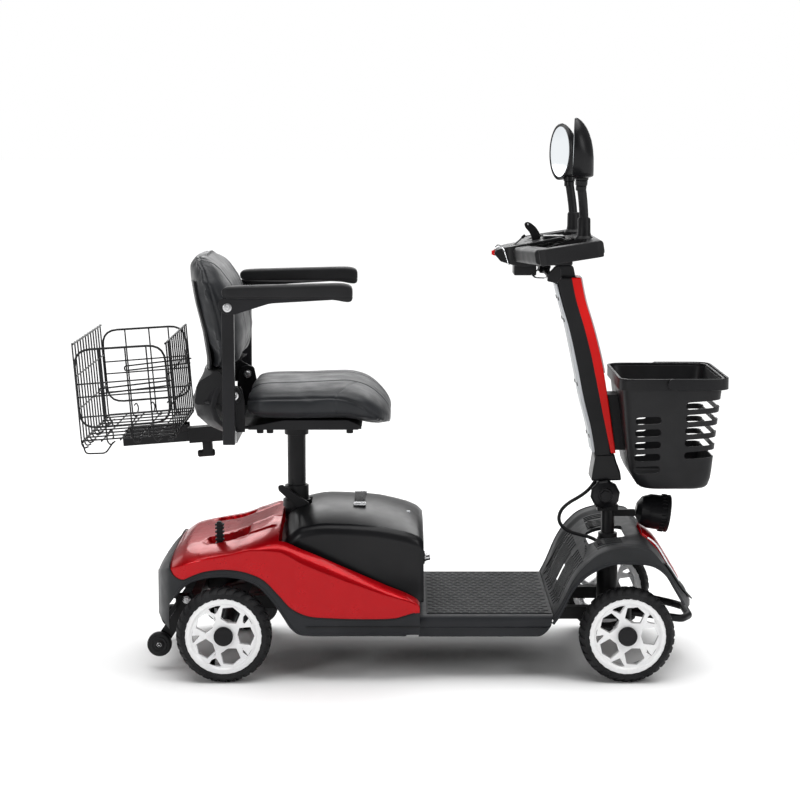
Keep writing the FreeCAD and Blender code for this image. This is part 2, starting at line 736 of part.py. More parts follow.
# ---------------------------------------------------------------- seat post and release lever
post = rod(dim("post_radius"), (post_x, 0, 240), (post_x, 0, dim("post_top_z") - 16))
post_collar = rod(25, (post_x, 0, dim("post_top_z") - 16), (post_x, 0, dim("post_top_z")))
spigot = rod(12, (post_x, 0, dim("post_top_z") - 2), (post_x, 0, dim("post_top_z") + 17))
node("seat_post", fuse(post, post_collar, spigot))

lever_y = -36
lever_hub = rod(9, (post_x + 20, lever_y - 5, 322), (post_x + 20, lever_y + 5, 322))
lever_arm = extrude("side", [(-214, 314), (-196, 330), (-252, 368), (-262, 366), (-260, 356)], lever_y - 4,
                    lever_y + 4, {2: 3, 3: 4, 4: 4})
node("release_lever", fuse(lever_hub, lever_arm))

# ---------------------------------------------------------------- seat frame
plate_low = dim("post_top_z") + 14
hub_low = dim("post_top_z") + 0.5
base_plate = box((-334, -140, plate_low), (-86, 140, plate_low + 6))
pan = extrude("side", [(-312, 504), (-92, 504), (-84, 512), (-112, 523.5), (-240, 523.5), (-312, 510)],
              -178, 178)
swivel_hub = rod(34, (post_x, 0, hub_low), (post_x, 0, plate_low + 3))
arm_tube = box((-358, -206, 481), (-332, 206, 507))
arm_tube_bore = box((-355.5, -260, 483.5), (-334.5, 260, 504.5))
bar_turn = Rotation(ALONG_Y, -dim("bar_drop_angle").value)
bar_root = (-358, 0, 475)
receiver = tilted_box((-90, -16, -16), (2, 16, 16), bar_root, bar_turn)
receiver_bore = tilted_box((-95, -12.5, -12.5), (-2, 12.5, 12.5), bar_root, bar_turn)
ears = [extrude("side", [(-362, 500), (-318, 500), (-318, 560), (-324, 590), (-338, 594), (-352, 590),
                         (-360, 574)],
                min(sign * 178, sign * 183), max(sign * 178, sign * 183), {3: 8, 4: 8, 5: 8, 6: 6})
        for side, sign in SIDES]
hinge_pins = [rod(6, (dim("back_hinge_x"), sign * 176, dim("back_hinge_z")),
                  (dim("back_hinge_x"), sign * 197, dim("back_hinge_z"))) for side, sign in SIDES]
spigot_bore = rod(12.4, (post_x, 0, 480), (post_x, 0, dim("post_top_z") + 22))
node("seat_frame", cut(fuse(base_plate, pan, swivel_hub, arm_tube, receiver, *ears, *hinge_pins),
                       spigot_bore, arm_tube_bore, receiver_bore))

# ---------------------------------------------------------------- seat cushion and backrest
seat_half = dim("seat_half_width")
front = dim("cushion_front_x")
rear = dim("cushion_rear_x")
cushion = extrude("side", [(rear, 527), (-240, 526), (-110, 526), (-62, 514), (front - 6, 500),
                           (front, 518),
                           (front - 14, 545), (-62, 573), (-110, 590), (-200, 588), (rear, 583)],
                  -seat_half, seat_half, {3: 30, 4: 5, 5: 12, 6: 60, 7: 60, 8: 60})
cushion_plan = extrude("plan", [(rear - 1, -168), (rear + 30, -seat_half - 1), (-110, -seat_half - 1),
                                (front + 1, -150), (front + 1, 150), (-110, seat_half + 1),
                                (rear + 30, seat_half + 1), (rear - 1, 168)], 490, 600,
                       {1: 60, 2: 90, 3: 60, 4: 60, 5: 90, 6: 60})
node("seat_cushion", common(cushion, cushion_plan))

hinge_x = dim("back_hinge_x")
hinge_z = dim("back_hinge_z")
BACK = [(-439, 832), (-426, 756), (-402, 650), (-406, 622), (-424, 584), (-432, 552), (-424, 526),
        (-404, 506),
        (-376, 495), (-368, 501), (-394, 514), (-410, 534), (-416, 556), (-404, 590), (-372, 622),
        (-322, 640), (-314, 690), (-324, 740), (-352, 800), (-388, 842), (-420, 854)]
back_side = extrude("side", BACK, -205, 205, {0: 14, 1: 60, 2: 20, 4: 30, 5: 30, 6: 20, 7: 20, 15: 10,
                                              16: 60,
                                             17: 60, 18: 50, 19: 20, 20: 16})
back_front = extrude("front", [(-196, 478), (-203, 560), (-172, 616), (-172, 640), (-201, 690), (-201, 790),
                               (-150, 862), (150, 862), (201, 790), (201, 690), (172, 640), (172, 616),
                               (203, 560), (196, 478)], -460, -300,
                     {1: 40, 2: 20, 3: 20, 4: 60, 5: 50, 6: 60, 7: 60, 8: 50, 9: 60, 10: 20, 11: 20,
                      12: 40})
lugs = [extrude("side", [(-410, 596), (-416, 556), (-350, 560), (-328, 560), (-322, 575), (-328, 588),
                         (-352, 600),
                         (-372, 626)], min(sign * 184, sign * 190), max(sign * 184, sign * 190),
                {3: 8, 4: 8, 5: 8}) for side, sign in SIDES]
pin_bores = [rod(6.4, (hinge_x, sign * 180, hinge_z), (hinge_x, sign * 205, hinge_z)) for side,
             sign in SIDES]
node("seat_back", cut(fuse(common(back_side, back_front), *lugs), *pin_bores))

# ---------------------------------------------------------------- armrests
arm_y = dim("arm_y")
arm_x_middle = dim("arm_x")
pivot_z = dim("arm_pivot_z")
for side, sign in SIDES:
    inner = sign * (arm_y - 10)
    outer = sign * (arm_y + 10)
    low_y, high_y = sorted((inner, outer), key=lambda edge: edge.value)
    upright = box((arm_x_middle - 12, low_y, 484), (arm_x_middle + 12, high_y, pivot_z))
    top = rod(12, (arm_x_middle, low_y, pivot_z), (arm_x_middle, high_y, pivot_z))
    foot_in, foot_out = sorted((sign * 112, sign * (arm_y - 8)), key=lambda edge: size(edge).value)
    foot = box((arm_x_middle - 10, foot_in, 484), (arm_x_middle + 10, foot_out, 504))
    arm_pin = rod(5, (arm_x_middle, sign * (arm_y + 8), pivot_z),
                  (arm_x_middle, sign * (arm_y + 17), pivot_z))
    node(f"arm_post_{side}", fuse(upright, top, foot, arm_pin))

    plate_low_y, plate_high_y = sorted((sign * (arm_y + 10.5), sign * (arm_y + 15)),
                                       key=lambda edge: edge.value)
    side_plate = extrude("side", [(-345, 740), (-330, 740), (-262, 764), (-140, 771), (-140, 776),
                                  (-362, 776),
                                  (-362, 756), (-358, 745)], plate_low_y, plate_high_y, {0: 5, 1: 10, 7: 5})
    pad_front = dim("arm_pad_front_x")
    pad = extrude("side", [(-358, 772), (-136, 772), (pad_front - 14, 766), (pad_front, 768),
                           (pad_front - 5, 797), (-130, 802), (-342, 798), (-350, 792)],
                  sign * arm_y - 22, sign * arm_y + 22, {2: 8, 3: 6, 4: 12, 5: 20, 6: 8}, 3.5)
    plate_bore = rod(5.4, (arm_x_middle, sign * (arm_y + 5), pivot_z), (arm_x_middle, sign * (arm_y + 25),
                                                                     pivot_z))
    node(f"armrest_{side}", cut(fuse(side_plate, pad), plate_bore))

# ---------------------------------------------------------------- rear bar and wire basket
bar = tilted_box((-228, -12, -12), (-3, 12, 12), bar_root, bar_turn)
bar_clamp = tilted_box((-64, -9, -46), (-44, 9, -16.5), bar_root, bar_turn)
node("rear_bar", group(bar, bar_clamp))

length = dim("rear_basket_length")
half = dim("rear_basket_half_width")
high = dim("rear_basket_high")
thick = dim("basket_wall")
basket_corner = (-643, 0, 480)
basket_floor = tilted_box((0, -half, 0), (length, half, thick), basket_corner, bar_turn)
basket_walls = [
    tilted_box((0, -half, thick), (thick, half, high + 12), basket_corner, bar_turn),
    tilted_box((length - thick, -half, thick), (length, half, high), basket_corner, bar_turn),
    tilted_box((thick, -half, thick), (length - thick, thick - half, high), basket_corner, bar_turn),
    tilted_box((thick, half - thick, thick), (length - thick, half, high), basket_corner, bar_turn),
]
node("rear_basket", group(basket_floor, *basket_walls))

# ---------------------------------------------------------------- tiller
TILLER_REAR = [(393, 375), (396, 420), (387, 480), (370, 546), (357, 610), (340, 691), (324, 750),
               (312, 800)]
TILLER_FRONT = [(356, 800), (366, 750), (384, 691), (401, 620), (414, 546), (424, 480), (432, 420),
                (447, 408),
                (447, 377)]
tiller_body = extrude("side", TILLER_REAR + TILLER_FRONT, -37, 37, {8: 4, 15: 5, 16: 5}, 5)
lug = fuse(rod(17.5, (tilt_x, -21, tilt_z), (tilt_x, 21, tilt_z)),
           box((tilt_x - 12, -21, tilt_z), (tilt_x + 14, 21, 385)))
lug_bore = rod(6.6, (tilt_x, -60, tilt_z), (tilt_x, 60, tilt_z))
neck = extrude("side", [(322, 796), (352, 796), (346, 823), (318, 823)], -26, 26)
node("tiller_cover", cut(fuse(tiller_body, lug, neck), lug_bore))

STRIPE_BACK = [(432.4, 424), (424.4, 481), (414.4, 547), (401.4, 621), (384.4, 692), (366.4, 751),
               (358, 792)]
STRIPE_FRONT = [(365, 792), (373, 752), (391, 693), (409, 622), (422, 548), (432, 482), (439, 424)]
node("tiller_stripe", extrude("side", STRIPE_BACK + STRIPE_FRONT, -33, 33, {6: 3, 7: 3}, 3))

PANEL_FRONT = [(393.7, 432), (386.4, 480), (369.4, 546), (356.4, 610), (339.4, 691), (323.4, 750),
               (316, 780)]
PANEL_REAR = [(311, 780), (318, 750), (333, 690), (350, 609), (363, 545), (380, 479), (389, 432)]
node("tiller_panel", extrude("side", PANEL_FRONT + PANEL_REAR, -27, 27))

# ---------------------------------------------------------------- handlebar, grips and dash
bar_lean = Rotation(ALONG_Y, -dim("bar_tilt_angle").value)
BAR_MIDDLE = Vector(318, 0, 861)


def leaned(thing):
    """Leans a piece built flat about the handlebar's middle, so that its front end is the higher."""
    thing.Placement = Placement(BAR_MIDDLE, bar_lean).multiply(thing.Placement)
    return thing


def built_flat(points, low, high, rounds, rim=None):
    """An outline in plan about the handlebar's middle, leaned with the handlebar."""
    body = extrude("plan", points, low, high, rounds, rim)
    body.setExpression("Placement.Base.x", None)
    body.setExpression("Placement.Base.y", None)
    body.setExpression("Placement.Base.z", None)
    return leaned(body)


bar_half = dim("handlebar_high") / 2
ring_outer = built_flat([(-98, -52), (-62, -236), (-46, -247), (62, -247), (74, -236), (74, 236), (62, 247),
                         (-46, 247), (-62, 236), (-98, 52)], -bar_half, bar_half,
                        {1: 14, 2: 14, 3: 14, 4: 14, 5: 14, 6: 14, 7: 14, 8: 14}, 9)
ring_gaps = [built_flat([(-62, sign * 66), (-34, sign * 214), (-26, sign * 221), (40, sign * 221),
                         (46, sign * 212), (46, sign * 66)], -30, 30, {1: 8, 2: 6, 3: 8, 4: 6})
             for side, sign in SIDES]
dash_room = extrude("side", [(150, 780), (150, 900), (345, 900), (345, 780)], -61, 61)
column_room = box((300, -30, 780), (372, 30, 826))
stem_seats = [rod(6.3, (360, sign * 130, 820), (360, sign * 130, 940)) for side, sign in SIDES]
node("handlebar", cut(cut(ring_outer, *ring_gaps), dash_room, column_room, *stem_seats))

grip_pads = [built_flat([(-54, sign * 247.3), (66, sign * 247.3), (70, sign * 262), (58, sign * 266),
                         (-44, sign * 266), (-56, sign * 260)], -16, 16, {2: 4, 3: 6, 4: 6, 5: 5})
             for side, sign in SIDES]
node("grips", group(*grip_pads))

dash = extrude("side", [(186, 846), (198, 832), (232, 823.4), (344, 826), (344, 872), (318, 883),
                        (262, 872),
                        (204, 861), (188, 854)], -60, 60, {0: 3, 2: 20, 5: 12, 8: 3})
dash_plan = extrude("plan", [(184, -26), (214, -58), (346, -60), (346, 60), (214, 58), (184, 26)], 800, 900,
                    {0: 10, 1: 16, 4: 16, 5: 10})
key_axis = Vector(27, 0, 24)
key_bore = rod(4.6, (215, -18, 855), (245, -18, 881.7))
leaf_bore = box((251, 12, 852), (289, 24, 900))
horn_bore = rod(6.3, (180, 0, 848), (199, 0, 848))
node("dash", cut(common(dash, dash_plan), key_bore, leaf_bore, horn_bore))

key_barrel = rod(4, (218, -18, 857.7), (250, -18, 886.1))
key_bow = tilted_box((-8, -1.6, 0), (8, 1.6, 20), (250, -18, 886.1), Rotation(ALONG_Z, key_axis))
node("ignition_key", fuse(key_barrel, key_bow))

leaf_hub = rod(6, (270, 13, 862), (270, 23, 862))
leaf = extrude("side", [(266, 862), (275, 862), (280, 880), (272, 896), (258, 909), (252, 908), (250, 902),
                        (260, 892)], 13.5, 22.5, {2: 6, 3: 8, 4: 3, 5: 3, 6: 3})
node("selector_lever", fuse(leaf_hub, leaf))
node("horn_button", fuse(rod(5.8, (184, 0, 848), (195, 0, 848)), rod(4.6, (181, 0, 848), (186, 0, 848))))

# ---------------------------------------------------------------- throttle, tilt knob
throttle_hub = rod(11, (291, 0, 806), (291, 0, 821.5))
throttle_bar = box((286, -150, 808), (296, 150, 815))
paddles = [extrude("side", [(286, 800), (304, 796), (314, 806), (312, 828), (302, 830), (288, 815)],
                   sign * 148 - 8, sign * 148 + 8, {1: 6, 2: 6, 3: 4, 4: 4}) for side, sign in SIDES]
node("throttle_lever", fuse(throttle_hub, throttle_bar, *paddles))

knob_head = cone(dim("tilt_knob_radius"), dim("tilt_knob_radius") - 9, (tilt_x, -41, tilt_z),
                 (tilt_x, -64, tilt_z))
knob_back = rod(18, (tilt_x, -34, tilt_z), (tilt_x, -42, tilt_z))
knob_shaft = rod(6, (tilt_x, -40, tilt_z), (tilt_x, 38, tilt_z))
knob_nut = rod(11, (tilt_x, 34, tilt_z), (tilt_x, 42, tilt_z))
node("tilt_knob", fuse(knob_head, knob_back, knob_shaft, knob_nut))

# ---------------------------------------------------------------- mirrors
for side, sign in SIDES:
    elbow = (359, sign * 134, 930)
    tip = (352, sign * 150, 984)
    boss = rod(13, (360, sign * 130, 886.6), (360, sign * 130, 900))
    spindle = rod(6, (360, sign * 130, 862), (360, sign * 130, 890))
    stem = pipe(7, [(360, sign * 130, 895), elbow, tip], 60)
    joint_cup = rod(10.5, (353, sign * 148, 976), (352, sign * 150, 990))
    node(f"mirror_stem_{side}", fuse(boss, spindle, stem, joint_cup))

    lean_back = Rotation(ALONG_Y, -11)
    yaw = Rotation(ALONG_Z, 24 if sign > 0 else -4)
    turn = yaw.multiply(lean_back)
    ball_point = Vector(352, sign * 150, 992.6)
    centre = ball_point + turn.multVec(Vector(-7, sign * 14, 72))
    head = dome(60, 46, 34)
    head.Placement = Placement(centre, turn)
    neck_low = (ball_point.x, ball_point.y, ball_point.z)
    neck_high = ball_point + turn.multVec(Vector(2, sign * 8, 34))
    neck_piece = cone(10.5, 13, neck_low, (neck_high.x, neck_high.y, neck_high.z))
    node(f"mirror_head_{side}", fuse(head, neck_piece))

# ---------------------------------------------------------------- front basket
rim_z = dim("front_basket_top_z")
floor_z = dim("front_basket_bottom_z")
basket_half = dim("front_basket_half_width")


def tub(inset, lift):
    """The basket's tapered solid, shrunk all round by inset, with its floor raised by lift."""
    body = new_body()
    levels = [(floor_z + lift, 478, 618, 108), (floor_z + 52, 462, 628, 118),
              (rim_z, 438, 648, basket_half)]
    sketches = []
    for level, back, ahead, half_width in levels:
        back_x = size(back) + inset
        ahead_x = size(ahead) - inset
        across = size(half_width) - inset
        bevel = 26
        section = [(back_x + bevel, -across), (ahead_x - bevel, -across), (ahead_x, -(across - bevel)),
                   (ahead_x, across - bevel), (ahead_x - bevel, across), (back_x + bevel, across),
                   (back_x, across - bevel), (back_x, -(across - bevel))]
        sketches.append(outline(body, "XY_Plane", section, level))
    loft = body.newObject("PartDesign::AdditiveLoft", name_for("loft"))
    loft.Profile = sketches[0]
    loft.Sections = sketches[1:]
    loft.Ruled = True
    return body


rim_band = extrude("plan", [(460, -151), (628, -151), (652, -126), (652, 126), (628, 151), (460, 151),
                            (434, 126),
                            (434, -126)], rim_z - 22, rim_z + 2)
tub_inside = tub(3.2, 3.2)
above_tub = extrude("plan", [(463, -145), (622, -145), (645, -121), (645, 121), (622, 145), (463, 145),
                             (441, 121), (441, -121)], rim_z - 3, rim_z + 20)
slots = []
for level in range(5):
    slot_z = 436 + 26 * level
    slots.append(box((486, -170, slot_z - 6), (534, 170, slot_z + 6)))
    slots.append(box((568, -170, slot_z + 1), (612, 170, slot_z + 13)))
    slots.append(box((600, -95, slot_z + 1), (670, -12, slot_z + 13)))
    slots.append(box((600, 12, slot_z + 1), (670, 95, slot_z + 13)))
node("front_basket", cut(fuse(tub(0, 0), rim_band), tub_inside, above_tub, *slots))
BRACKET = [(437.8, 440), (432.8, 482), (422.7, 548), (421.4, 556), (443.2, 556), (459.4, 440)]
node("basket_bracket", extrude("side", BRACKET, -30, 30))

bail_points = [(542, -152.5), (542, -158), (640, -158), (660, -136), (660, 136), (640, 158), (542, 158),
               (542, 152.5), (637, 152.5), (654.5, 133), (654.5, -133), (637, -152.5)]
bail_band = extrude("plan", bail_points, rim_z - 20, rim_z + 4)
bail_pins = [rod(4, (542, sign * 146, rim_z - 8), (542, sign * 156, rim_z - 8)) for side, sign in SIDES]
bail_ends = [rod(12, (542, sign * 152.5, rim_z - 8), (542, sign * 158, rim_z - 8)) for side, sign in SIDES]
node("basket_handle", fuse(bail_band, *bail_ends, *bail_pins))
pin_holes = [rod(4.4, (542, sign * 140, rim_z - 8), (542, sign * 156, rim_z - 8)) for side, sign in SIDES]
node("front_basket", cut(NODES["front_basket"], *pin_holes))

# ---------------------------------------------------------------- wiring cord
# From the foot of the tiller it bows rearward and goes down into the opening beside the column.
CORD_POINTS = [(397.5, -27, 372.7), (387, -30, 358), (366, -35, 343), (342, -40, 331), (324, -44, 314),
               (321, -45, 291), (339, -42, 272), (366, -37, 263), (392, -32, 256), (410, -28, 244)]


def cord_radii(points):
    """The largest arc that each corner's two runs allow."""
    corners = [vector(point) for point in points]
    radii = []
    for before, corner, after in zip(corners, corners[1:], corners[2:]):
        turn = math.pi - (before - corner).getAngle(after - corner)
        shorter = min((before - corner).Length, (after - corner).Length)
        radii.append(0.45 * shorter / math.tan(turn / 2))
    return radii


radii = cord_radii(CORD_POINTS)
wire = path_wire(CORD_POINTS, radii)
start = vector(CORD_POINTS[0])
ring = Part.Wire(Part.makeCircle(dim("cord_radius").value, start, vector(CORD_POINTS[1]) - start))
cord = DOC.addObject("Part::Feature", "cord_tube")
cord.Shape = wire.makePipeShell([ring], True, False)
cord.Placement = Placement()
node("tiller_cable", cord)
print("cord radii, mm:", " ".join(f"{radius:.0f}" for radius in radii))
expected = math.pi * dim("cord_radius").value ** 2 * wire.Length
print(f"cord length {wire.Length:.0f} mm, volume over section times length {cord.Shape.Volume / expected:.4f}")

# ---------------------------------------------------------------- checks and files
DOC.recompute()
faulty = [thing.Name for thing in DOC.Objects if {"Invalid", "Error"} & set(thing.State)]
if faulty:
    raise RuntimeError(f"failed objects: {faulty}")
os.makedirs("parts", exist_ok=True)
for label, thing in NODES.items():
    shape = thing.Shape
    if shape.isNull() or not shape.isValid() or not shape.Solids:
        raise RuntimeError(f"{label} is not a valid solid")
    shape.exportStep(f"parts/{label}.step")
print(f"{len(NODES)} sub-parts written")
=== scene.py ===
"""Looks of the mobility scooter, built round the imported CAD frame. Lengths in the tables are millimetres."""

import json
import math

import bmesh
import bpy
import numpy as np
from mathutils import Matrix, Vector

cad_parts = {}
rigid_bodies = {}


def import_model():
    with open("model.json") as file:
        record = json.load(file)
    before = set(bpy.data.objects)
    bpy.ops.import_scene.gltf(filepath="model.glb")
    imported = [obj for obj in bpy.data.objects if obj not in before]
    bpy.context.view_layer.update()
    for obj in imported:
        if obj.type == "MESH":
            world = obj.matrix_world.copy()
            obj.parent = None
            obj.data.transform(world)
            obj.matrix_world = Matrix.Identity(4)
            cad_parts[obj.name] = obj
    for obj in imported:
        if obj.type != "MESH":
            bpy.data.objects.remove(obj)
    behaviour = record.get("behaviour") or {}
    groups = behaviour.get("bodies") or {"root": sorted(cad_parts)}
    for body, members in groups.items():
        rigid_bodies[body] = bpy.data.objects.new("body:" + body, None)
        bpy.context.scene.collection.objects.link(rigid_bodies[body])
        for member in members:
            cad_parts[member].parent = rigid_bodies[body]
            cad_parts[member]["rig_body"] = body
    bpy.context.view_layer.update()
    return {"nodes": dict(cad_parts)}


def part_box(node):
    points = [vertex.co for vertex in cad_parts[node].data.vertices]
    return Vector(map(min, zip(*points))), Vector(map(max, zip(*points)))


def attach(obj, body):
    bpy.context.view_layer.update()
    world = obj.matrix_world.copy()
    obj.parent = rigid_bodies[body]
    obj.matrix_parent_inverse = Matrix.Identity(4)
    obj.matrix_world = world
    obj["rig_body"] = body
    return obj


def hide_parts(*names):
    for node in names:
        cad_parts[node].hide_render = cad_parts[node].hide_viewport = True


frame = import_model()
MM = 0.001
SIDES = (("right", -1), ("left", 1))
scene = bpy.context.scene


# ---------------------------------------------------------------- materials
class Shader:
    """A node material made in steps round one Principled shader, in object coordinates."""

    def __init__(self, name, rough=0.5, metal=0.0, specular=0.5, coat=0.0, coat_rough=0.05, sheen=0.0):
        self.material = bpy.data.materials.new(name)
        self.material.use_nodes = True
        self.tree = self.material.node_tree
        self.main = self.tree.nodes["Principled BSDF"]
        for socket, value in (("Roughness", rough), ("Metallic", metal),
                              ("Specular IOR Level", specular), ("Coat Weight", coat),
                              ("Coat Roughness", coat_rough), ("Sheen Weight", sheen)):
            self.main.inputs[socket].default_value = value
        self.place = self.tree.nodes.new("ShaderNodeTexCoord").outputs["Object"]
        self.normal = None

    def node(self, kind, **settings):
        made = self.tree.nodes.new(kind)
        for key, value in settings.items():
            setattr(made, key, value)
        return made

    def link(self, source, target):
        self.tree.links.new(source, target)

    def stretched(self, scale):
        """Object coordinates multiplied by a different amount along each axis."""
        mapping = self.node("ShaderNodeMapping")
        mapping.inputs["Scale"].default_value = scale
        self.link(self.place, mapping.inputs["Vector"])
        return mapping.outputs["Vector"]

    def noise(self, scale, detail=3.0, stretch=(1, 1, 1)):
        texture = self.node("ShaderNodeTexNoise")
        texture.inputs["Scale"].default_value = scale
        texture.inputs["Detail"].default_value = detail
        self.link(self.stretched(stretch), texture.inputs["Vector"])
        return texture.outputs["Fac"]

    def cells(self, scale):
        texture = self.node("ShaderNodeTexVoronoi")
        texture.inputs["Scale"].default_value = scale
        self.link(self.stretched((1, 1, 1)), texture.inputs["Vector"])
        return texture.outputs["Distance"]

    def span(self, source, low, high, from_low=0.3, from_high=0.7):
        """A texture's values spread over the range low to high."""
        ranger = self.node("ShaderNodeMapRange")
        for socket, value in (("From Min", from_low), ("From Max", from_high), ("To Min", low),
                              ("To Max", high)):
            ranger.inputs[socket].default_value = value
        self.link(source, ranger.inputs["Value"])
        return ranger.outputs["Result"]

    def colour(self, first, second, fac, from_low=0.35, from_high=0.65):
        """The base colour goes from first to second as the texture's value rises."""
        mix = self.node("ShaderNodeMix", data_type="RGBA")
        mix.inputs[6].default_value = (*first, 1)
        mix.inputs[7].default_value = (*second, 1)
        self.link(self.span(fac, 0, 1, from_low, from_high), mix.inputs[0])
        self.link(mix.outputs[2], self.main.inputs["Base Color"])
        return self

    def roughness(self, fac, low, high):
        self.link(self.span(fac, low, high), self.main.inputs["Roughness"])
        return self

    def bump(self, height, strength, depth):
        """Another layer of relief, depth in millimetres."""
        made = self.node("ShaderNodeBump")
        made.inputs["Strength"].default_value = strength
        made.inputs["Distance"].default_value = depth * MM
        self.link(height, made.inputs["Height"])
        if self.normal is not None:
            self.link(self.normal, made.inputs["Normal"])
        self.normal = made.outputs["Normal"]
        self.link(self.normal, self.main.inputs["Normal"])
        return self


def moulded(name, dark, light, rough, spread=0.08, grain=900, relief=0.12):
    """Plastic or powder coat: slow colour drift, fine grain, uneven gloss."""
    made = Shader(name, rough, specular=0.2, coat_rough=0.12)
    made.colour(dark, light, made.noise(7, 4))
    made.roughness(made.noise(38, 5), rough - spread / 2, rough + spread)
    made.bump(made.noise(grain, 2), 0.5, relief)
    return made.material


def metal(name, dark, light, rough, stretch=(1, 1, 1)):
    made = Shader(name, rough, metal=1.0)
    made.colour(dark, light, made.noise(60, 4, stretch))
    made.roughness(made.noise(90, 4, stretch), rough - 0.06, rough + 0.12)
    made.bump(made.noise(700, 2, stretch), 0.25, 0.05)
    return made.material


def leather(name, dark, light):
    made = Shader(name, 0.42, specular=0.25, sheen=0.04)
    pebble = made.cells(420)
    made.colour(dark, light, made.noise(9, 5))
    made.roughness(made.noise(30, 5), 0.36, 0.52)
    made.bump(made.noise(26, 4), 0.25, 1.4)
    made.bump(pebble, 0.35, 0.35)
    return made.material


def red_paint():
    made = Shader("metallic_red", 0.3, metal=0.5, specular=0.1, coat=0.3, coat_rough=0.05)
    flakes = made.cells(2400)
    made.colour((0.24, 0.0, 0.002), (0.46, 0.0, 0.004), flakes, 0.1, 0.6)
    made.roughness(made.noise(50, 4), 0.26, 0.38)
    made.bump(flakes, 0.08, 0.06)
    return made.material


def tyre_rubber():
    made = Shader("tyre_rubber", 0.62, specular=0.2)
    made.colour((0.007, 0.007, 0.008), (0.017, 0.017, 0.018), made.noise(24, 6))
    made.roughness(made.noise(60, 5), 0.52, 0.74)
    made.bump(made.noise(1100, 3), 0.4, 0.15)
    return made.material


def webbing():
    made = Shader("webbing", 0.8, specular=0.3, sheen=0.3)
    weave = made.node("ShaderNodeTexWave", wave_type="BANDS", bands_direction="DIAGONAL")
    weave.inputs["Scale"].default_value = 260
    weave.inputs["Distortion"].default_value = 0.6
    made.link(made.place, weave.inputs["Vector"])
    made.colour((0.008, 0.008, 0.009), (0.035, 0.035, 0.038), weave.outputs["Fac"])
    made.bump(weave.outputs["Fac"], 0.7, 0.4)
    return made.material


def glossy_white():
    made = Shader("white_enamel", 0.22, specular=0.5, coat=0.5, coat_rough=0.08)
    made.colour((0.80, 0.80, 0.81), (0.88, 0.88, 0.88), made.noise(12, 4))
    made.roughness(made.noise(45, 4), 0.18, 0.32)
    made.bump(made.noise(500, 2), 0.15, 0.04)
    return made.material


def mirror_glass():
    made = Shader("mirror_glass", 0.03, metal=1.0)
    made.colour((0.66, 0.69, 0.72), (0.74, 0.77, 0.79), made.noise(8, 2))
    made.roughness(made.noise(30, 3), 0.02, 0.05)
    return made.material


TYRE = tyre_rubber()
WHITE = glossy_white()
RED = red_paint()
POWDER = moulded("powder_coat", (0.006, 0.006, 0.007), (0.011, 0.011, 0.012), 0.4, relief=0.1)
SATIN = moulded("satin_bar", (0.008, 0.008, 0.009), (0.014, 0.014, 0.016), 0.34, relief=0.08)
BLACK = moulded("black_plastic", (0.007, 0.007, 0.008), (0.013, 0.013, 0.014), 0.42, relief=0.14)
GREY = moulded("grey_plastic", (0.012, 0.013, 0.015), (0.020, 0.021, 0.024), 0.42, relief=0.14)
RIBBED = moulded("ribbed_plastic", (0.016, 0.017, 0.018), (0.026, 0.027, 0.029), 0.5, relief=0.16)
LIGHT = moulded("light_grey_plastic", (0.50, 0.52, 0.54), (0.58, 0.60, 0.62), 0.38, relief=0.08)
CASE = moulded("case_plastic", (0.005, 0.005, 0.006), (0.009, 0.009, 0.010), 0.3, spread=0.04,
               relief=0.03)
RED_PLASTIC = moulded("red_plastic", (0.60, 0.002, 0.002), (0.74, 0.004, 0.003), 0.32, relief=0.05)
MAT = moulded("mat_rubber", (0.012, 0.013, 0.014), (0.022, 0.023, 0.024), 0.55, grain=600, relief=0.2)
RUBBER = moulded("soft_rubber", (0.008, 0.008, 0.009), (0.015, 0.015, 0.016), 0.5, grain=500,
                 relief=0.2)
WIRE = moulded("coated_wire", (0.008, 0.008, 0.009), (0.016, 0.016, 0.017), 0.34, relief=0.05)
CAST = moulded("cast_housing", (0.030, 0.031, 0.033), (0.060, 0.061, 0.064), 0.5, grain=300, relief=0.3)
WRAP = moulded("cell_wrap", (0.05, 0.055, 0.075), (0.07, 0.075, 0.10), 0.35)
STEEL = metal("zinc_steel", (0.50, 0.50, 0.51), (0.72, 0.72, 0.73), 0.26)
SILVER = metal("silver_trim", (0.62, 0.63, 0.65), (0.78, 0.79, 0.80), 0.22, (1, 6, 6))
LEATHER = leather("grey_leatherette", (0.012, 0.013, 0.015), (0.021, 0.023, 0.026))
SHELL_LEATHER = leather("black_leatherette", (0.008, 0.008, 0.009), (0.014, 0.014, 0.016))
WEBBING = webbing()
GLASS = mirror_glass()


# ---------------------------------------------------------------- shape helpers
def added(name, data):
    """A new object in the scene."""
    made = bpy.data.objects.new(name, data)
    scene.collection.objects.link(made)
    return made


def removed(made):
    """Takes an object and its mesh out of the file."""
    data = made.data
    bpy.data.objects.remove(made)
    bpy.data.meshes.remove(data)


def mesh_object(name, mesh):
    """A bmesh as a new object. The bmesh is used up."""
    data = bpy.data.meshes.new(name)
    mesh.to_mesh(data)
    mesh.free()
    return added(name, data)


def add_mesh(name, points, faces, sharp):
    """A mesh object from points in millimetres, smooth except at edges sharper than the angle."""
    mesh = bpy.data.meshes.new(name)
    mesh.from_pydata([tuple(float(c) * MM for c in p) for p in points], [], faces)
    mesh.validate()
    return shade(added(name, mesh), sharp)


def shade(made, sharp=40):
    made.data.polygons.foreach_set("use_smooth", [True] * len(made.data.polygons))
    made.data.set_sharp_from_angle(angle=math.radians(sharp))
    return made


def face_out(made):
    """Makes a closed mesh's faces all point outwards."""
    mesh = bmesh.new()
    mesh.from_mesh(made.data)
    bmesh.ops.recalc_face_normals(mesh, faces=mesh.faces)
    mesh.to_mesh(made.data)
    mesh.free()
    return made


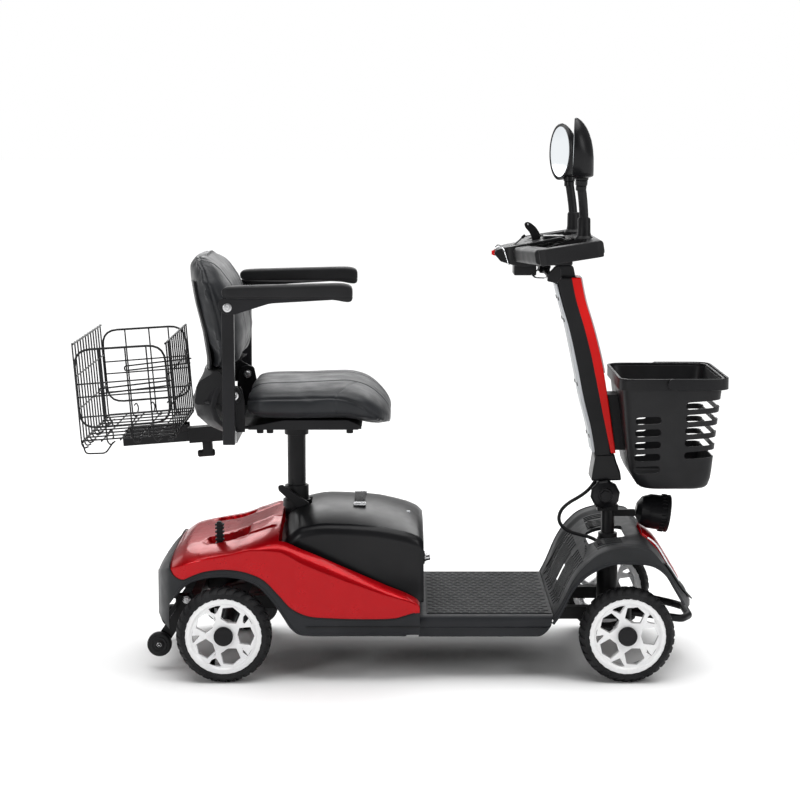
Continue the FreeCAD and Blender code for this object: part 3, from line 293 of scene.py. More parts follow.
def baked(made):
    """Applies the modifiers."""
    graph = bpy.context.evaluated_depsgraph_get()
    graph.update()
    mesh = bpy.data.meshes.new_from_object(made.evaluated_get(graph))
    old = made.data
    made.modifiers.clear()
    made.data = mesh
    bpy.data.meshes.remove(old)
    return made


def loft(name, rings, looped=False, sharp=40):
    """A skin over rings with the same number of points each. Looped joins the last ring to the first."""
    points = [p for ring in rings for p in ring]
    around = len(rings[0])
    steps = len(rings) if looped else len(rings) - 1
    faces = []
    for row in range(steps):
        low = row * around
        high = (row + 1) % len(rings) * around
        for i in range(around):
            j = (i + 1) % around
            faces.append((low + i, low + j, high + j, high + i))
    if not looped:
        faces.append(tuple(range(around))[::-1])
        faces.append(tuple(range(len(points) - around, len(points))))
    return face_out(add_mesh(name, points, faces, sharp))


def softened(made, width, segments=2, angle=35, sharp=50):
    """Rounds a mesh's sharp edges and keeps its flats flat."""
    bevel = made.modifiers.new("bevel", "BEVEL")
    bevel.width = width * MM
    bevel.segments = segments
    bevel.limit_method = "ANGLE"
    bevel.angle_limit = math.radians(angle)
    bevel.use_clamp_overlap = False
    baked(made)
    shade(made, sharp)
    made.modifiers.new("normals", "WEIGHTED_NORMAL").keep_sharp = True
    return baked(made)


def prism(name, outline, plane, low, high, width=0.0, segments=2):
    """An outline in the side (x, z), plan (x, y) or front (y, z) view, drawn out between two levels."""
    put = {
        "side": lambda a, b, level: (a, level, b),
        "plan": lambda a, b, level: (a, b, level),
        "front": lambda a, b, level: (level, a, b),
    }[plane]
    rings = [[put(a, b, level) for a, b in outline] for level in (low, high)]
    made = loft(name, rings, sharp=30)
    return softened(made, width, segments) if width else made


def block(name, low, high, width, segments=2):
    outline = [(low[0], low[1]), (high[0], low[1]), (high[0], high[1]), (low[0], high[1])]
    return prism(name, outline, "plan", low[2], high[2], width, segments)


def revolve(name, profile, centre, axis, sides=48, sharp=35, closed=False):
    """A profile of (radius, place along the axis) turned about an axis through centre."""
    axis = Vector(axis).normalized()
    across = axis.orthogonal().normalized()
    other = axis.cross(across)
    centre = Vector(centre)
    rings = []
    for radius, along in profile:
        rings.append([centre + axis * along + (across * math.cos(angle) + other * math.sin(angle)) * radius
                      for angle in turns(sides)])
    return loft(name, rings, closed, sharp)


def rod(name, start, end, radius, sides=28, rim=0.8):
    """A round bar with small chamfers at its ends."""
    start, end = Vector(start), Vector(end)
    length = (end - start).length
    profile = [(radius - rim, 0), (radius, rim), (radius, length - rim), (radius - rim, length)]
    return revolve(name, profile, start, end - start, sides)


def hermite(t, start, out, end, into):
    """A point, or a row of values, on the cubic from start to end with the given slopes."""
    return ((2 * t**3 - 3 * t**2 + 1) * start + (t**3 - 2 * t**2 + t) * out
            + (3 * t**2 - 2 * t**3) * end + (t**3 - t**2) * into)


def smooth_line(points, per):
    """Points along a smooth curve that goes through all the given ones, flat or in space."""
    points = [np.array(p, float) for p in points]
    made = []
    for i in range(len(points) - 1):
        b, c = points[i], points[i + 1]
        a = points[i - 1] if i else 2 * b - c
        d = points[i + 2] if i + 2 < len(points) else 2 * c - b
        first, second, third = (max(np.linalg.norm(gap), 1e-6) ** 0.5 for gap in (b - a, c - b, d - c))
        out = ((b - a) / first - (c - a) / (first + second) + (c - b) / second) * second
        into = ((c - b) / second - (d - b) / (second + third) + (d - c) / third) * second
        made += [hermite(step / per, b, out, c, into) for step in range(per)]
    return [tuple(p) for p in made + [points[-1]]]


def rounded(points, radius, closed=True, steps=5):
    """A polygon or polyline with its corners turned into arcs."""
    points = [Vector(p) for p in points]
    count = len(points)
    made = []
    for i, corner in enumerate(points):
        if not closed and i in (0, count - 1):
            made.append(tuple(corner))
            continue
        before = points[i - 1] - corner
        after = points[(i + 1) % count] - corner
        reach = min(radius, before.length * 0.48, after.length * 0.48)
        start = corner + before.normalized() * reach
        end = corner + after.normalized() * reach
        for step in range(steps + 1):
            t = step / steps
            made.append(tuple(start * (1 - t) ** 2 + corner * (2 * t * (1 - t)) + end * t**2))
    return made


def rounded_flat(outline, radius, steps=4):
    """A flat outline with its corners turned into arcs."""
    return [(p[0], p[1]) for p in rounded([(a, b, 0) for a, b in outline], radius, steps=steps)]


def swept(name, path, section, closed=False):
    """A section of (across, up) points carried along a path."""
    path = [Vector(p) for p in path]
    count = len(path)
    rings = []
    across = None
    for i, point in enumerate(path):
        if closed:
            ahead = path[(i + 1) % count] - path[i - 1]
        else:
            ahead = path[min(i + 1, count - 1)] - path[max(i - 1, 0)]
        ahead.normalize()
        if across is None:
            across = ahead.cross(Vector((0, 0, 1)))
            if across.length < 0.05:
                across = ahead.cross(Vector((0, 1, 0.01)))
        else:
            across = across - ahead * across.dot(ahead)
        across.normalize()
        rise = across.cross(ahead)
        rings.append([point + across * a + rise * b for a, b in section])
    return loft(name, rings, looped=closed)


def turns(count):
    """Evenly spaced angles round a circle."""
    return [2 * math.pi * step / count for step in range(count)]


def circle(radius, sides):
    return [(radius * math.cos(angle), radius * math.sin(angle)) for angle in turns(sides)]


def flat_bar(half_width, half_height):
    """A rectangular section."""
    return [(-half_width, -half_height), (half_width, -half_height), (half_width, half_height),
            (-half_width, half_height)]


def power(value, exponent):
    """A power that keeps the value's sign, for superellipses."""
    return math.copysign(abs(value) ** exponent, value)


def wire(name, path, radius, closed=False, sides=8):
    return swept(name, path, circle(radius, sides), closed)


def joined(name, parts):
    """Several meshes as one object."""
    mesh = bmesh.new()
    for part in parts:
        mesh.from_mesh(part.data)
        removed(part)
    return mesh_object(name, mesh)


def combined(made, other, operation="DIFFERENCE"):
    """A boolean that uses up the other mesh."""
    step = made.modifiers.new("boolean", "BOOLEAN")
    step.operation = operation
    step.solver = "EXACT"
    step.object = other
    baked(made)
    removed(other)
    return shade(made)


def moved(made, matrix):
    made.data.transform(matrix)
    return made


def about(point, axis, degrees):
    """A turn about an axis through a point given in millimetres."""
    place = Matrix.Translation(Vector(point) * MM)
    return place @ Matrix.Rotation(math.radians(degrees), 4, Vector(axis)) @ place.inverted()


def piece(made, body, material, slot, *nodes):
    """Gives a piece its material, the body that it rides on and the CAD nodes that it stands for."""
    made.data.materials.clear()
    made.data.materials.append(material)
    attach(made, body)
    if nodes:
        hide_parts(*nodes)


def refined(node, material, slot, width):
    """A CAD node with its edges rounded, in a better material."""
    source = frame["nodes"][node]
    mesh = bmesh.new()
    mesh.from_mesh(source.data)
    bmesh.ops.remove_doubles(mesh, verts=mesh.verts, dist=0.01 * MM)
    bmesh.ops.dissolve_limit(mesh, angle_limit=math.radians(0.8), verts=mesh.verts, edges=mesh.edges)
    made = softened(mesh_object(node + "_finish", mesh), width, 2, 32)
    piece(made, source["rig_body"], material, slot, node)


def bolt(name, centre, axis, radius, height, body):
    """A hexagon head with a round washer face."""
    washer = revolve(name + "_washer", [(radius * 1.25, 0), (radius * 1.35, 0.3), (radius * 1.35, 0.8),
                                        (radius * 1.2, 1.1)], centre, axis, 32)
    head = revolve(name + "_head", [(radius, 1.0), (radius, height - 0.8), (radius * 0.86, height)],
                   centre, axis, 6,
                   sharp=20)
    dimple = revolve(name + "_dimple", [(radius * 0.45, height - 0.2), (radius * 0.4, height + 0.5),
                                        (radius * 0.2, height + 0.7)], centre, axis, 20)
    piece(joined(name, [washer, head, dimple]), body, STEEL, "steel")


# ---------------------------------------------------------------- hoods: smooth skins through stations
WALL_STEPS = 9


def between(stations, x):
    """Every column of the stations at x, along a curve that doesn't overshoot."""
    table = np.array(stations, float)
    xs = table[:, 0]
    i = int(np.clip(np.searchsorted(xs, x) - 1, 0, len(xs) - 2))
    step = xs[i + 1] - xs[i]
    t = float(np.clip((x - xs[i]) / step, 0, 1))
    slopes = np.diff(table, axis=0) / np.diff(xs)[:, None]

    def tangent(k):
        if k == 0:
            return slopes[0]
        if k == len(xs) - 1:
            return slopes[-1]
        left, right = slopes[k - 1], slopes[k]
        return np.where(left * right <= 0, 0,
                        2 * left * right / np.where(left + right == 0, 1, left + right))

    return hermite(t, table[i], step * tangent(i), table[i + 1], step * tangent(i + 1))


def section_top(row, y, curve=2.0):
    """Height of a hood's section at y."""
    half, shoulder, crown = row[1], row[3], row[4]
    share = min(abs(y) / half, 1.0)
    return shoulder + (crown - shoulder) * (1 - share**curve) ** (1 / curve)


def hood(name, stations, rows, steps, inset=0.0, drop=0.0, curve=2.0, shape=None, ends=(0, 0),
         sharp=40):
    """A closed skin through hood sections (x, half width, low, shoulder, crown).

    shape(x, y, z, row) gives the point's new y and z. ends lengthen the hood at its first and last section.
    """
    first, last = stations[0][0], stations[-1][0]
    rings = []
    for i in range(rows + 1):
        x = first + (last - first) * i / rows
        row = between(stations, x) - np.array([0, inset, drop, inset, inset])
        half, low, shoulder, crown = row[1:5]
        if i == 0:
            x -= ends[0]
        if i == rows:
            x += ends[1]
        walls = [low + (shoulder - low) * wall / WALL_STEPS for wall in range(WALL_STEPS)]
        ring = [(x, -half, z) for z in walls]
        for step in range(steps + 1):
            across = half * math.cos(math.pi * (1 - step / steps))
            ring.append((x, across, section_top(row, across, curve)))
        ring += [(x, half, z) for z in reversed(walls)]
        if shape:
            ring = [(px, *shape(px, py, pz, row)) for px, py, pz in ring]
        rings.append(ring)
    return loft(name, rings, sharp=sharp)


def step_up(value, low, high):
    """0 below low, 1 above high, smooth between."""
    t = min(max((value - low) / (high - low), 0.0), 1.0)
    return t * t * (3 - 2 * t)


# ---------------------------------------------------------------- rear body, skirt and battery case
REAR = [
    (-506, 96, 112, 196, 204), (-492, 158, 112, 210, 224), (-470, 196, 98, 222, 246),
    (-440, 214, 93, 234, 266), (-400, 222, 93, 246, 272), (-350, 226, 93, 256, 280),
    (-300, 228, 93, 266, 298), (-252, 228, 93, 262, 314), (-200, 229, 93, 236, 300),
    (-120, 230, 93, 204, 262), (-40, 230, 93, 176, 220), (26, 230, 93, 156, 180),
    (31.5, 228, 93, 150, 172),
]
REAR_ARCH = [(-474, 150), (-436, 198), (-400, 212), (-361, 216), (-322, 211), (-290, 196), (-262, 166),
             (-240, 134), (-224, 110), (-208, 99), (-186, 97), (-100, 97), (60, 97)]
SEAM = [(-452, 300), (-457, 272), (-473, 238), (-465, 213), (-446, 204), (-424, 213), (-400, 222),
        (-361, 227), (-322, 223), (-284, 208), (-252, 176), (-228, 150), (-196, 134), (-148, 129),
        (-18, 129), (0, 134), (26, 141), (60, 141)]
CHANNEL_TIP, CHANNEL_WIDE, CHANNEL_END = -414, -396, -318
CHANNEL_HALF, CHANNEL_DEEP, BLOCK_RISE, SPINE_RISE = 29, 15, 3, 2
REAR_CURVE = 2.25
SKIRT_PROUD = 1.4
PAST_BODY = (-280, 280)


def rear_relief(x, y, z, row):
    """Channels with pointed rear ends either side of the spine, and the raised blocks ahead of them."""
    if z < row[3] + 4:
        return y, z
    across = abs(y)
    half_width = CHANNEL_HALF * step_up(x, CHANNEL_TIP, CHANNEL_WIDE)
    centre = 116 - 10 * step_up(x, CHANNEL_WIDE, CHANNEL_END)
    inside = 1 - step_up(abs(across - centre), half_width - 3, half_width + 3)
    end = 1 - step_up(x, CHANNEL_END - 2, CHANNEL_END + 5)
    deep = CHANNEL_DEEP * step_up(x, CHANNEL_TIP, CHANNEL_TIP + 30) * end
    block_here = step_up(x, CHANNEL_END - 1, CHANNEL_END + 5) * (1 - step_up(x, -268, -256))
    block_across = 1 - step_up(abs(across - 104), 34, 42)
    spine = (1 - step_up(across, 66, 76)) * step_up(x, -392, -352)
    raised = BLOCK_RISE * block_here * block_across + SPINE_RISE * spine
    return y, z - inside * deep * (half_width > 1) + raised - 3


seam_line = smooth_line(SEAM, 6)
arch_line = smooth_line(REAR_ARCH, 6)


def rear_shell(name, grow, inset, operation):
    """The rear skin above the seam, or below it with INTERSECT, less the battery's pocket and the arches."""
    outer = hood(name, [(s[0], s[1] + grow, s[2], s[3] + grow, s[4] + grow) for s in REAR], 190, 190,
                 shape=rear_relief, curve=REAR_CURVE)
    inner = hood(name + "_inside", REAR, 60, 60, inset=inset, drop=14, curve=REAR_CURVE, ends=(-5, 4),
                 shape=lambda x, y, z, row: (y, z - 17 * step_up(z, row[3], row[3] + 20) * (x < -256)))
    pocket = [(-251, -207), (60, -207), (60, 207), (-251, 207)]
    shell = combined(combined(outer, inner), prism("pocket", pocket, "plan", 110, 420))
    below = [(-560, 60), (-560, 300)] + seam_line + [(60, 60)]
    shell = combined(shell, prism("below", below, "side", *PAST_BODY), operation)
    return combined(shell, prism("arch", [(-474, 40)] + arch_line + [(60, 40)], "side", *PAST_BODY))


body_red = rear_shell("rear_body_shell", 0.0, 5, "DIFFERENCE")
lever_slot = rounded_flat([(-401, -141), (-346, -141), (-346, -119), (-401, -119)], 5)
body_red = combined(body_red, prism("lever_slot", lever_slot, "plan", 200, 330))
piece(body_red, "chassis", RED, "red_gloss", "rear_body")
skirt = rear_shell("rear_skirt_shell", SKIRT_PROUD, 4, "INTERSECT")
piece(skirt, "chassis", GREY, "grey_plastic", "rear_skirt")


def on_rear(x, z):
    """How far out the rear skirt is at x, z."""
    row = between(REAR, x)
    half, shoulder, crown = row[1] + SKIRT_PROUD, row[3], row[4] + SKIRT_PROUD
    share = min(max(z - shoulder, 0) / (crown - shoulder), 1)
    return half * (1 - share**REAR_CURVE) ** (1 / REAR_CURVE)


for side, sign in SIDES:
    lip = [(x, sign * (on_rear(x, z) - 1.0), z) for x, z in arch_line[2:] if x < 30]
    ledge = [(x, sign * (on_rear(x, z) - 0.4), z) for x, z in seam_line if x < 26 and z < 250]
    sill = [(x, sign * 231.6, z) for x, z in ((-196, 112), (-150, 113), (-60, 113), (31, 113))]
    sill_step = [(-2.2, -1.2), (1.2, -1.2), (1.2, 1.2), (-2.2, 1.2)]
    for name, path, section, material in (("rear_arch_lip", smooth_line(lip, 2), circle(3.0, 12), GREY),
                                          ("rear_seam_bead", ledge, circle(1.6, 8), BLACK),
                                          ("sill_step", smooth_line(sill, 6), sill_step, BLACK)):
        piece(swept(f"{name}_{side}", path, section), "chassis", material, "grey_plastic")

BATTERY = [
    (-249, 168, 152, 240, 296), (-236, 184, 152, 262, 318), (-205, 192, 152, 284, 334),
    (-155, 194, 152, 292, 342), (-70, 194, 152, 288, 338), (0, 192, 152, 276, 322),
    (28, 188, 152, 266, 308), (40, 180, 152, 256, 296),
]
SIDE_HOLLOW, HOLLOW_FOOT, CORNER_RISE = 6.5, 168, 20


def battery_section(x, y, z, row):
    """Rounded upper corners, a gentle crown and hollowed sides."""
    half, shoulder, crown = row[1], row[3], row[4]
    if z <= shoulder + 0.01:
        hollow = SIDE_HOLLOW * math.sin(math.pi * min(max((z - HOLLOW_FOOT) / (shoulder - HOLLOW_FOOT),
                                                          0), 1))
        return y * (1 - hollow / half), z
    across = abs(y) / half
    corner = CORNER_RISE * math.sqrt(max(1 - max((across - 0.925) / 0.075, 0) ** 2, 0))
    dome = (crown - 6 - shoulder - CORNER_RISE) * (1 - min(across / 0.97, 1) ** 2.1)
    return y, shoulder + corner + dome


case = hood("battery_case_shell", BATTERY, 120, 160, shape=battery_section, sharp=35)
notch = prism("notch", rounded_flat([(-300, -46), (-192, -46), (-192, 46), (-300, 46)], 14), "plan",
              100, 420)
case = combined(case, notch)
softened(case, 2.2, 3, 60)
piece(case, "chassis", CASE, "black_gloss", "battery_case")


def case_top(x, y):
    row = between(BATTERY, x)
    return battery_section(x, y, section_top(row, y) + 0.1, row)[1]


STRAP_X = -91
strap_path = [(STRAP_X, y, case_top(STRAP_X, y) + lift) for y, lift in
              ((-66, 1.5), (-60, 3.5), (-44, 6), (-20, 7), (20, 7), (44, 6), (60, 3.5), (66, 1.5))]
strap = swept("lifting_strap", smooth_line(strap_path, 5), flat_bar(11, 1.3))
piece(softened(strap, 0.5), "chassis", WEBBING, "webbing", "battery_strap")
level = case_top(STRAP_X, 62)
for side, sign in SIDES:
    buckle = block(f"strap_buckle_{side}", (-104, sign * 66 - 9, level - 1),
                   (-78, sign * 66 + 9, level + 5.5), 1.5, 3)
    piece(buckle, "chassis", SILVER, "steel")
gauge_level = case_top(9, -34)
gauge = block("charge_gauge", (2, -42, gauge_level - 2.5), (13, -30, gauge_level + 1.2), 0.8)
piece(gauge, "chassis", LIGHT, "light_grey")
refined("charge_socket", STEEL, "steel", 0.3)
socket_collar = revolve("charge_collar", [(9.5, -1), (14, -1), (14, 1.6), (12.5, 2.6), (9.5, 2.6)],
                        (40.4, -100, 228),
                        (1, 0, 0), closed=True)
piece(socket_collar, "chassis", BLACK, "black_gloss")
refined("battery_cells", WRAP, "cells", 2.0)

refined("freewheel_lever", BLACK, "black_plastic", 1.0)
ribs = [block("rib", (-384.5, -137.2, z), (-366, -122.8, z + 3.4), 0.8) for z in (246, 254, 262, 270,
                                                                                  278, 286, 294, 301)]
piece(joined("freewheel_lever_ribs", ribs), "freewheel", BLACK, "black_plastic")

# ---------------------------------------------------------------- deck and mat
deck_outline = [(-210, 132), (-214, 128), (-214, 109), (-209, 107), (-209, 89), (-206, 87), (-200, 87),
                (-200, 126), (200, 126), (200, 87), (206, 87), (209, 89), (209, 107), (214, 109),
                (214, 128), (210, 132)]
deck = prism("deck_shell", rounded_flat(deck_outline, 2.2, 3), "front", 29.5, 299.8, 0.8)
corner_arc = [(260 + 38 * math.sin(math.radians(a)),
               124 - 38 * math.cos(math.radians(a))) for a in range(0, 91, 9)]
corner_cutter = prism("corner", [(262, 80), *corner_arc[1:], (306, 126), (306, 80)], "side", -230, 230)
piece(combined(deck, corner_cutter), "chassis", GREY, "grey_plastic", "deck_pan")
piece(block("deck_rear_sill", (26, -192, 118), (46, 192, 131.2), 1.0), "chassis", GREY, "grey_plastic")

mat_parts = [block("mat_base", (46, -198, 132.2), (298, 198, 133.8), 0.5)]
studs, stud_faces = [], []
STUD_ROWS, STUD_COLUMNS, STUD_STEP_X, STUD_STEP_Y = 24, 15, 17, 16.3
STUD = [(-7.6, -2.4), (-5.2, -7.2), (5.2, -7.2), (7.6, -2.4), (7.6, 2.4), (5.2, 7.2), (-5.2, 7.2),
        (-7.6, 2.4)]
for row in range(STUD_ROWS):
    for column in range(STUD_COLUMNS):
        centre_x = 56 + STUD_STEP_X * (column + (0.5 if row % 2 else 0))
        centre_y = -187 + STUD_STEP_Y * row
        if centre_x > 292:
            continue
        start = len(studs)
        for level, scale in ((133.6, 1.0), (134.6, 0.94), (135.2, 0.74)):
            studs += [(centre_x + a * scale, centre_y + b * scale, level) for a, b in STUD]
        for low in (start, start + 8):
            for i in range(8):
                j = (i + 1) % 8
                stud_faces.append((low + i, low + j, low + 8 + j, low + 8 + i))
        stud_faces.append(tuple(range(start + 16, start + 24)))
        stud_faces.append(tuple(range(start, start + 8))[::-1])
mat_parts.append(add_mesh("mat_studs", studs, stud_faces, 60))
piece(joined("deck_mat_tread", mat_parts), "chassis", MAT, "mat_rubber", "deck_mat")

# ---------------------------------------------------------------- front cowl
COWL = [
    (300.4, 215, 93, 133, 132), (312, 224, 93, 152, 142), (341, 236, 93, 214, 196),
    (363, 241, 93, 243, 228), (388, 244, 93, 263, 252), (412, 244, 93, 272, 262),
    (440, 244, 93, 277, 265), (486, 242, 93, 272, 270), (520, 232, 93, 238, 246),
    (552, 208, 93, 190, 200), (577, 160, 93, 158, 166), (590, 96, 93, 140, 150),
]
FRONT_ARCH = [(300, 116), (315, 142), (336, 188), (364, 220), (408, 243), (450, 246), (494, 241),
              (522, 222), (545, 186), (566, 150), (600, 118)]
EDGE_HIGH, EDGE_WIDE, TINY = 12, 16, 1e-6


def cowl_section(x, y, z, row):
    """Rounded fenders that stand above the ribbed ramp between them."""
    half, shoulder, crown = row[1], row[3], row[4]
    across = abs(y)
    if z <= shoulder - EDGE_HIGH or across < TINY and z < shoulder - 30 or across >= half - TINY:
        return y, z
    round_edge = half - EDGE_WIDE
    if z < min(shoulder, crown) or across > round_edge:
        t = min(max((across - round_edge) / EDGE_WIDE, 0), 1)
        return y, shoulder - EDGE_HIGH + EDGE_HIGH * math.sqrt(1 - t * t)
    inner = step_up(across, half - 66, half - 44)
    ramp = crown + (shoulder - crown) * (across / half) ** 2 - 4
    return y, ramp + (shoulder - ramp) * inner


cowl = hood("cowl_shell", COWL, 150, 200, shape=cowl_section)
cowl_inside = hood("cowl_inside", COWL, 60, 60, inset=5, drop=14, ends=(4, -5), shape=lambda x, y, z,
                   row:
                   (y, z - 11 * step_up(z, row[3] - 20, row[3])))
opening = [(299, 40)] + smooth_line(FRONT_ARCH, 6) + [(640, 118), (640, 40)]
column_hole = rounded_flat([(384, -60), (462, -60), (462, 60), (384, 60)], 14)
nose_plan = [(494, -52), (600, -38), (600, 38), (494, 52)]
cowl = combined(cowl, cowl_inside)
cowl = combined(cowl, prism("opening", opening, "side", *PAST_BODY))
cowl = combined(cowl, prism("hole", column_hole, "plan", 230, 330))
cowl = combined(cowl, prism("nose_seat", nose_plan, "plan", 149, 300))
piece(cowl, "chassis", RIBBED, "black_plastic", "front_cowl")


def on_cowl(x, y):
    """Height of the cowl's skin at x, y."""
    row = between(COWL, x)
    return cowl_section(x, y, section_top(row, y), row)[1]


def cowl_strip(name, xs, y, across, rise):
    """A raised rib that follows the cowl along X."""
    path = [(x, y, on_cowl(x, y) + rise / 2 - 0.6) for x in xs]
    half = across / 2
    return swept(name, path, [(-half, -rise / 2), (half, -rise / 2), (half * 0.7, rise / 2),
                              (-half * 0.7, rise / 2)])


ribs, vent_shade_blocks = [], []
for sign in (-1, 1):
    for y in range(18, 186, 12):
        if 128 < y < 150:
            continue
        first, last = (306, 352) if y % 24 == 18 else (312, 364)
        ribs.append(cowl_strip("rib", np.linspace(first, last, 12), sign * y, 7, 2.4))
        if y > 66:
            ribs.append(cowl_strip("rib", np.linspace(392, 446, 12), sign * y, 6, 2.6))
    # Darker blocks set into the cowl for its vent holes and slots: painted shade of the openings, which are not
    # cut.
    for x in range(318, 368, 10):
        level = on_cowl(x, sign * 139)
        vent_shade_blocks.append(block("pit", (x - 2.6, sign * 139 - 6, level - 2),
                          (x + 2.6, sign * 139 + 6, level + 0.5), 1.0))
    for y in (72, 84, 96, 108, 120):
        level = on_cowl(418, sign * y)
        vent_shade_blocks.append(block("pit", (396, sign * y - 2.2, level - 3), (442, sign * y + 2.2, level + 0.3),
                          0.6))
piece(joined("cowl_ribs", ribs), "chassis", RIBBED, "black_plastic")
piece(joined("cowl_vents_painted_shade", vent_shade_blocks), "chassis", RUBBER, "black_plastic")



def fender_y(x):
    return between(COWL, min(max(x, COWL[0][0]), COWL[-1][0]))[1]


front_lip_line = smooth_line(FRONT_ARCH[:-1], 8)
for side, sign in SIDES:
    lip = [(x, sign * (fender_y(x) - 1.2), z) for x, z in front_lip_line]
    piece(swept(f"fender_lip_{side}", lip, circle(3.4, 12)), "chassis", GREY, "black_plastic")
    ridge = [(x, sign * (fender_y(x) - 3.5), between(COWL, x)[3] - 5) for x in np.linspace(302, 560,
                                                                                           40)]
    piece(swept(f"fender_ridge_{side}", ridge, circle(3.2, 10)), "chassis", GREY, "black_plastic")

NOSE = [(494.5, 51, 93, 266, 278), (521, 48, 93, 247, 258), (552, 44, 93, 199, 212),
        (574.5, 41, 93, 163, 173)]
nose = hood("nose_skin", NOSE, 40, 40, curve=2.4)
nose = combined(nose, hood("nose_inner", NOSE, 20, 30, inset=3, drop=14, curve=2.4, ends=(4, 4)))
nose_keep = [(494.6, 247), (494.6, 300), (574, 300), (574, 151), (548, 185), (519, 232)]
nose = combined(nose, prism("nose_keep", nose_keep, "side", -60, 60), "INTERSECT")
piece(nose, "chassis", RED, "red_gloss", "nose_panel")
for side, sign in SIDES:
    edge = [(x, sign * (between(NOSE, x)[1] + 1.5), between(NOSE, x)[3] + 1.5) for x in np.linspace(506,
                                                                                                    574,
                                                                                                    20)]
    piece(swept(f"nose_trim_{side}", edge, flat_bar(2.2, 1.5)), "chassis", SILVER, "light_grey")
    corner = [(x, sign * (between(COWL, x)[1] - 18), between(COWL, x)[3] + 1) for x in np.linspace(520,
                                                                                                   578,
                                                                                                   20)]
    band = swept(f"cowl_corner_{side}", corner, flat_bar(13, 1.6))
    piece(softened(band, 1.0), "chassis", CAST, "grey_plastic")

# ---------------------------------------------------------------- wheels
LUGS, LUG_DEPTH, LUG_HALF_ANGLE, LUG_TAPER = 34, 5, 0.062, 0.88
HALF_TYRE = 24.6


def tyre_mesh(name, centre, outer, bead):
    """A tyre with a smooth carcass, a raised band on each side and slanting shoulder lugs."""
    half = HALF_TYRE
    crown = outer - 3.2
    wall = [(bead, 3), (bead + 2, 0), (bead + 9, 0), (crown - 8, 1.5), (crown - 2.5, 7), (crown, 14)]
    profile = [(radius, -half + gap) for radius, gap in wall] + [(radius, half - gap) for radius,
                                                                 gap in wall[::-1]]
    raised = [(bead + 6, 0.4), (bead + 7.2, 0.9), (bead + 8.4, 0.4), (bead + 8.4, -2), (bead + 6, -2)]
    parts = [revolve(name + "_carcass", profile, centre, (0, 1, 0), 96, sharp=55, closed=True)]
    for hand in (-1, 1):
        band = [(radius, hand * (half + proud)) for radius, proud in raised]
        parts.append(revolve(name + "_band", band, centre, (0, 1, 0), 96, closed=True))
    points, faces = [], []
    stations = [(2.0, outer, 0.0), (half - 13, outer - 0.3, 0.055), (half - 6.5, outer - 3.2, 0.085),
                (half - 1.2, outer - 9.5, 0.105), (half - 0.2, outer - 15, 0.115)]
    for lug in range(LUGS):
        for hand in (-1, 1):
            start = len(points)
            turn = 2 * math.pi * (lug + (0.5 if hand > 0 else 0)) / LUGS
            for across, radius, skew in stations:
                for spread, depth in ((-1, LUG_DEPTH), (-1, 0), (1, 0), (1, LUG_DEPTH)):
                    angle = turn + skew + spread * LUG_HALF_ANGLE * (1 if depth else LUG_TAPER)
                    reach = radius - depth
                    push = 0.7 if across > half - 2 and not depth else 0
                    points.append((centre[0] + reach * math.cos(angle),
                                   centre[1] + hand * (across + push - depth * 0.1),
                                   centre[2] + reach * math.sin(angle)))
            end = len(points) - 4
            for low in range(start, end, 4):
                for j in range(4):
                    k = (j + 1) % 4
                    faces.append((low + j, low + k, low + 4 + k, low + 4 + j))
            faces.append((start, start + 1, start + 2, start + 3))
            faces.append((end + 3, end + 2, end + 1, end))
    lug_mesh = face_out(add_mesh(name + "_lugs", points, faces, 25))
    return joined(name, [*parts, softened(lug_mesh, 0.6, 2, 30)])


for end in ("rear", "front"):
    for side, sign in SIDES:
        node = f"{end}_{side}_tyre"
        low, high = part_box(node)
        centre = tuple((low + high) / 2 / MM)
        outer = (high.z - low.z) / 2 / MM
        body = f"{end}_{side}_wheel"
        rim_low, rim_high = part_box(f"{end}_{side}_rim")
        bead = (rim_high.z - rim_low.z) / 2 / MM + 0.1
        piece(tyre_mesh(f"{end}_{side}_tread", centre, outer, bead), body, TYRE, "tyre_rubber", node)
        refined(f"{end}_{side}_rim", WHITE, "rim_white", 1.1)
        face_y = rim_low.y / MM if sign < 0 else rim_high.y / MM
        hub = (centre[0], face_y, centre[2])
        cap = revolve(f"{end}_{side}_hub_cap",
                      [(19, -6), (19.5, 0.6), (18.6, 2.2), (16.8, 2.8), (16.2, 2.2), (0.1, 2.6)],
                      hub, (0, sign, 0), 40)
        piece(cap, body, BLACK, "black_plastic")

for side, sign in SIDES:
    node = f"anti_tip_wheel_{side}"
    refined(node, RUBBER, "tyre_rubber", 1.2)
    low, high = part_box(node)
    centre = (low + high) / 2 / MM
    face = (centre.x, high.y / MM if sign > 0 else low.y / MM, centre.z)
    disc = revolve(f"anti_tip_disc_{side}",
                   [(17, -2), (17, 0.8), (15.5, 1.6), (11, 0.6), (10, 1.6), (7, 2.2), (6.5, 0.6),
                    (0.1, 0.8)], face, (0, sign, 0), 36)
    piece(disc, f"anti_tip_{side}", BLACK, "black_plastic")
    bolt(f"anti_tip_bolt_{side}", (centre.x, face[1] + sign * 0.6, centre.z), (0, sign, 0), 3.6, 3.0,
         f"anti_tip_{side}")

# ---------------------------------------------------------------- frame, axles and steering
for node in ("front_frame", "rear_frame", "anti_tip_arms", "steering_column", "seat_post", "seat_frame",
             "rear_bar",
             "basket_bracket"):
    refined(node, POWDER, "frame_black", 0.8)
refined("transaxle", CAST, "cast_grey", 1.0)
for node in ("knuckle_right", "knuckle_left"):
    refined(node, CAST, "frame_black", 0.8)
refined("tie_rod", STEEL, "steel", 0.5)
refined("release_lever", BLACK, "black_plastic", 1.2)
for side, sign in SIDES:
    bolt(f"anti_tip_arm_bolt_{side}", (-446, sign * 122, 144), (0, sign, 0), 6, 5, "chassis")
    bolt(f"kingpin_nut_{side}", (447, sign * 165, 168), (0, 0, 1), 8, 7, "chassis")

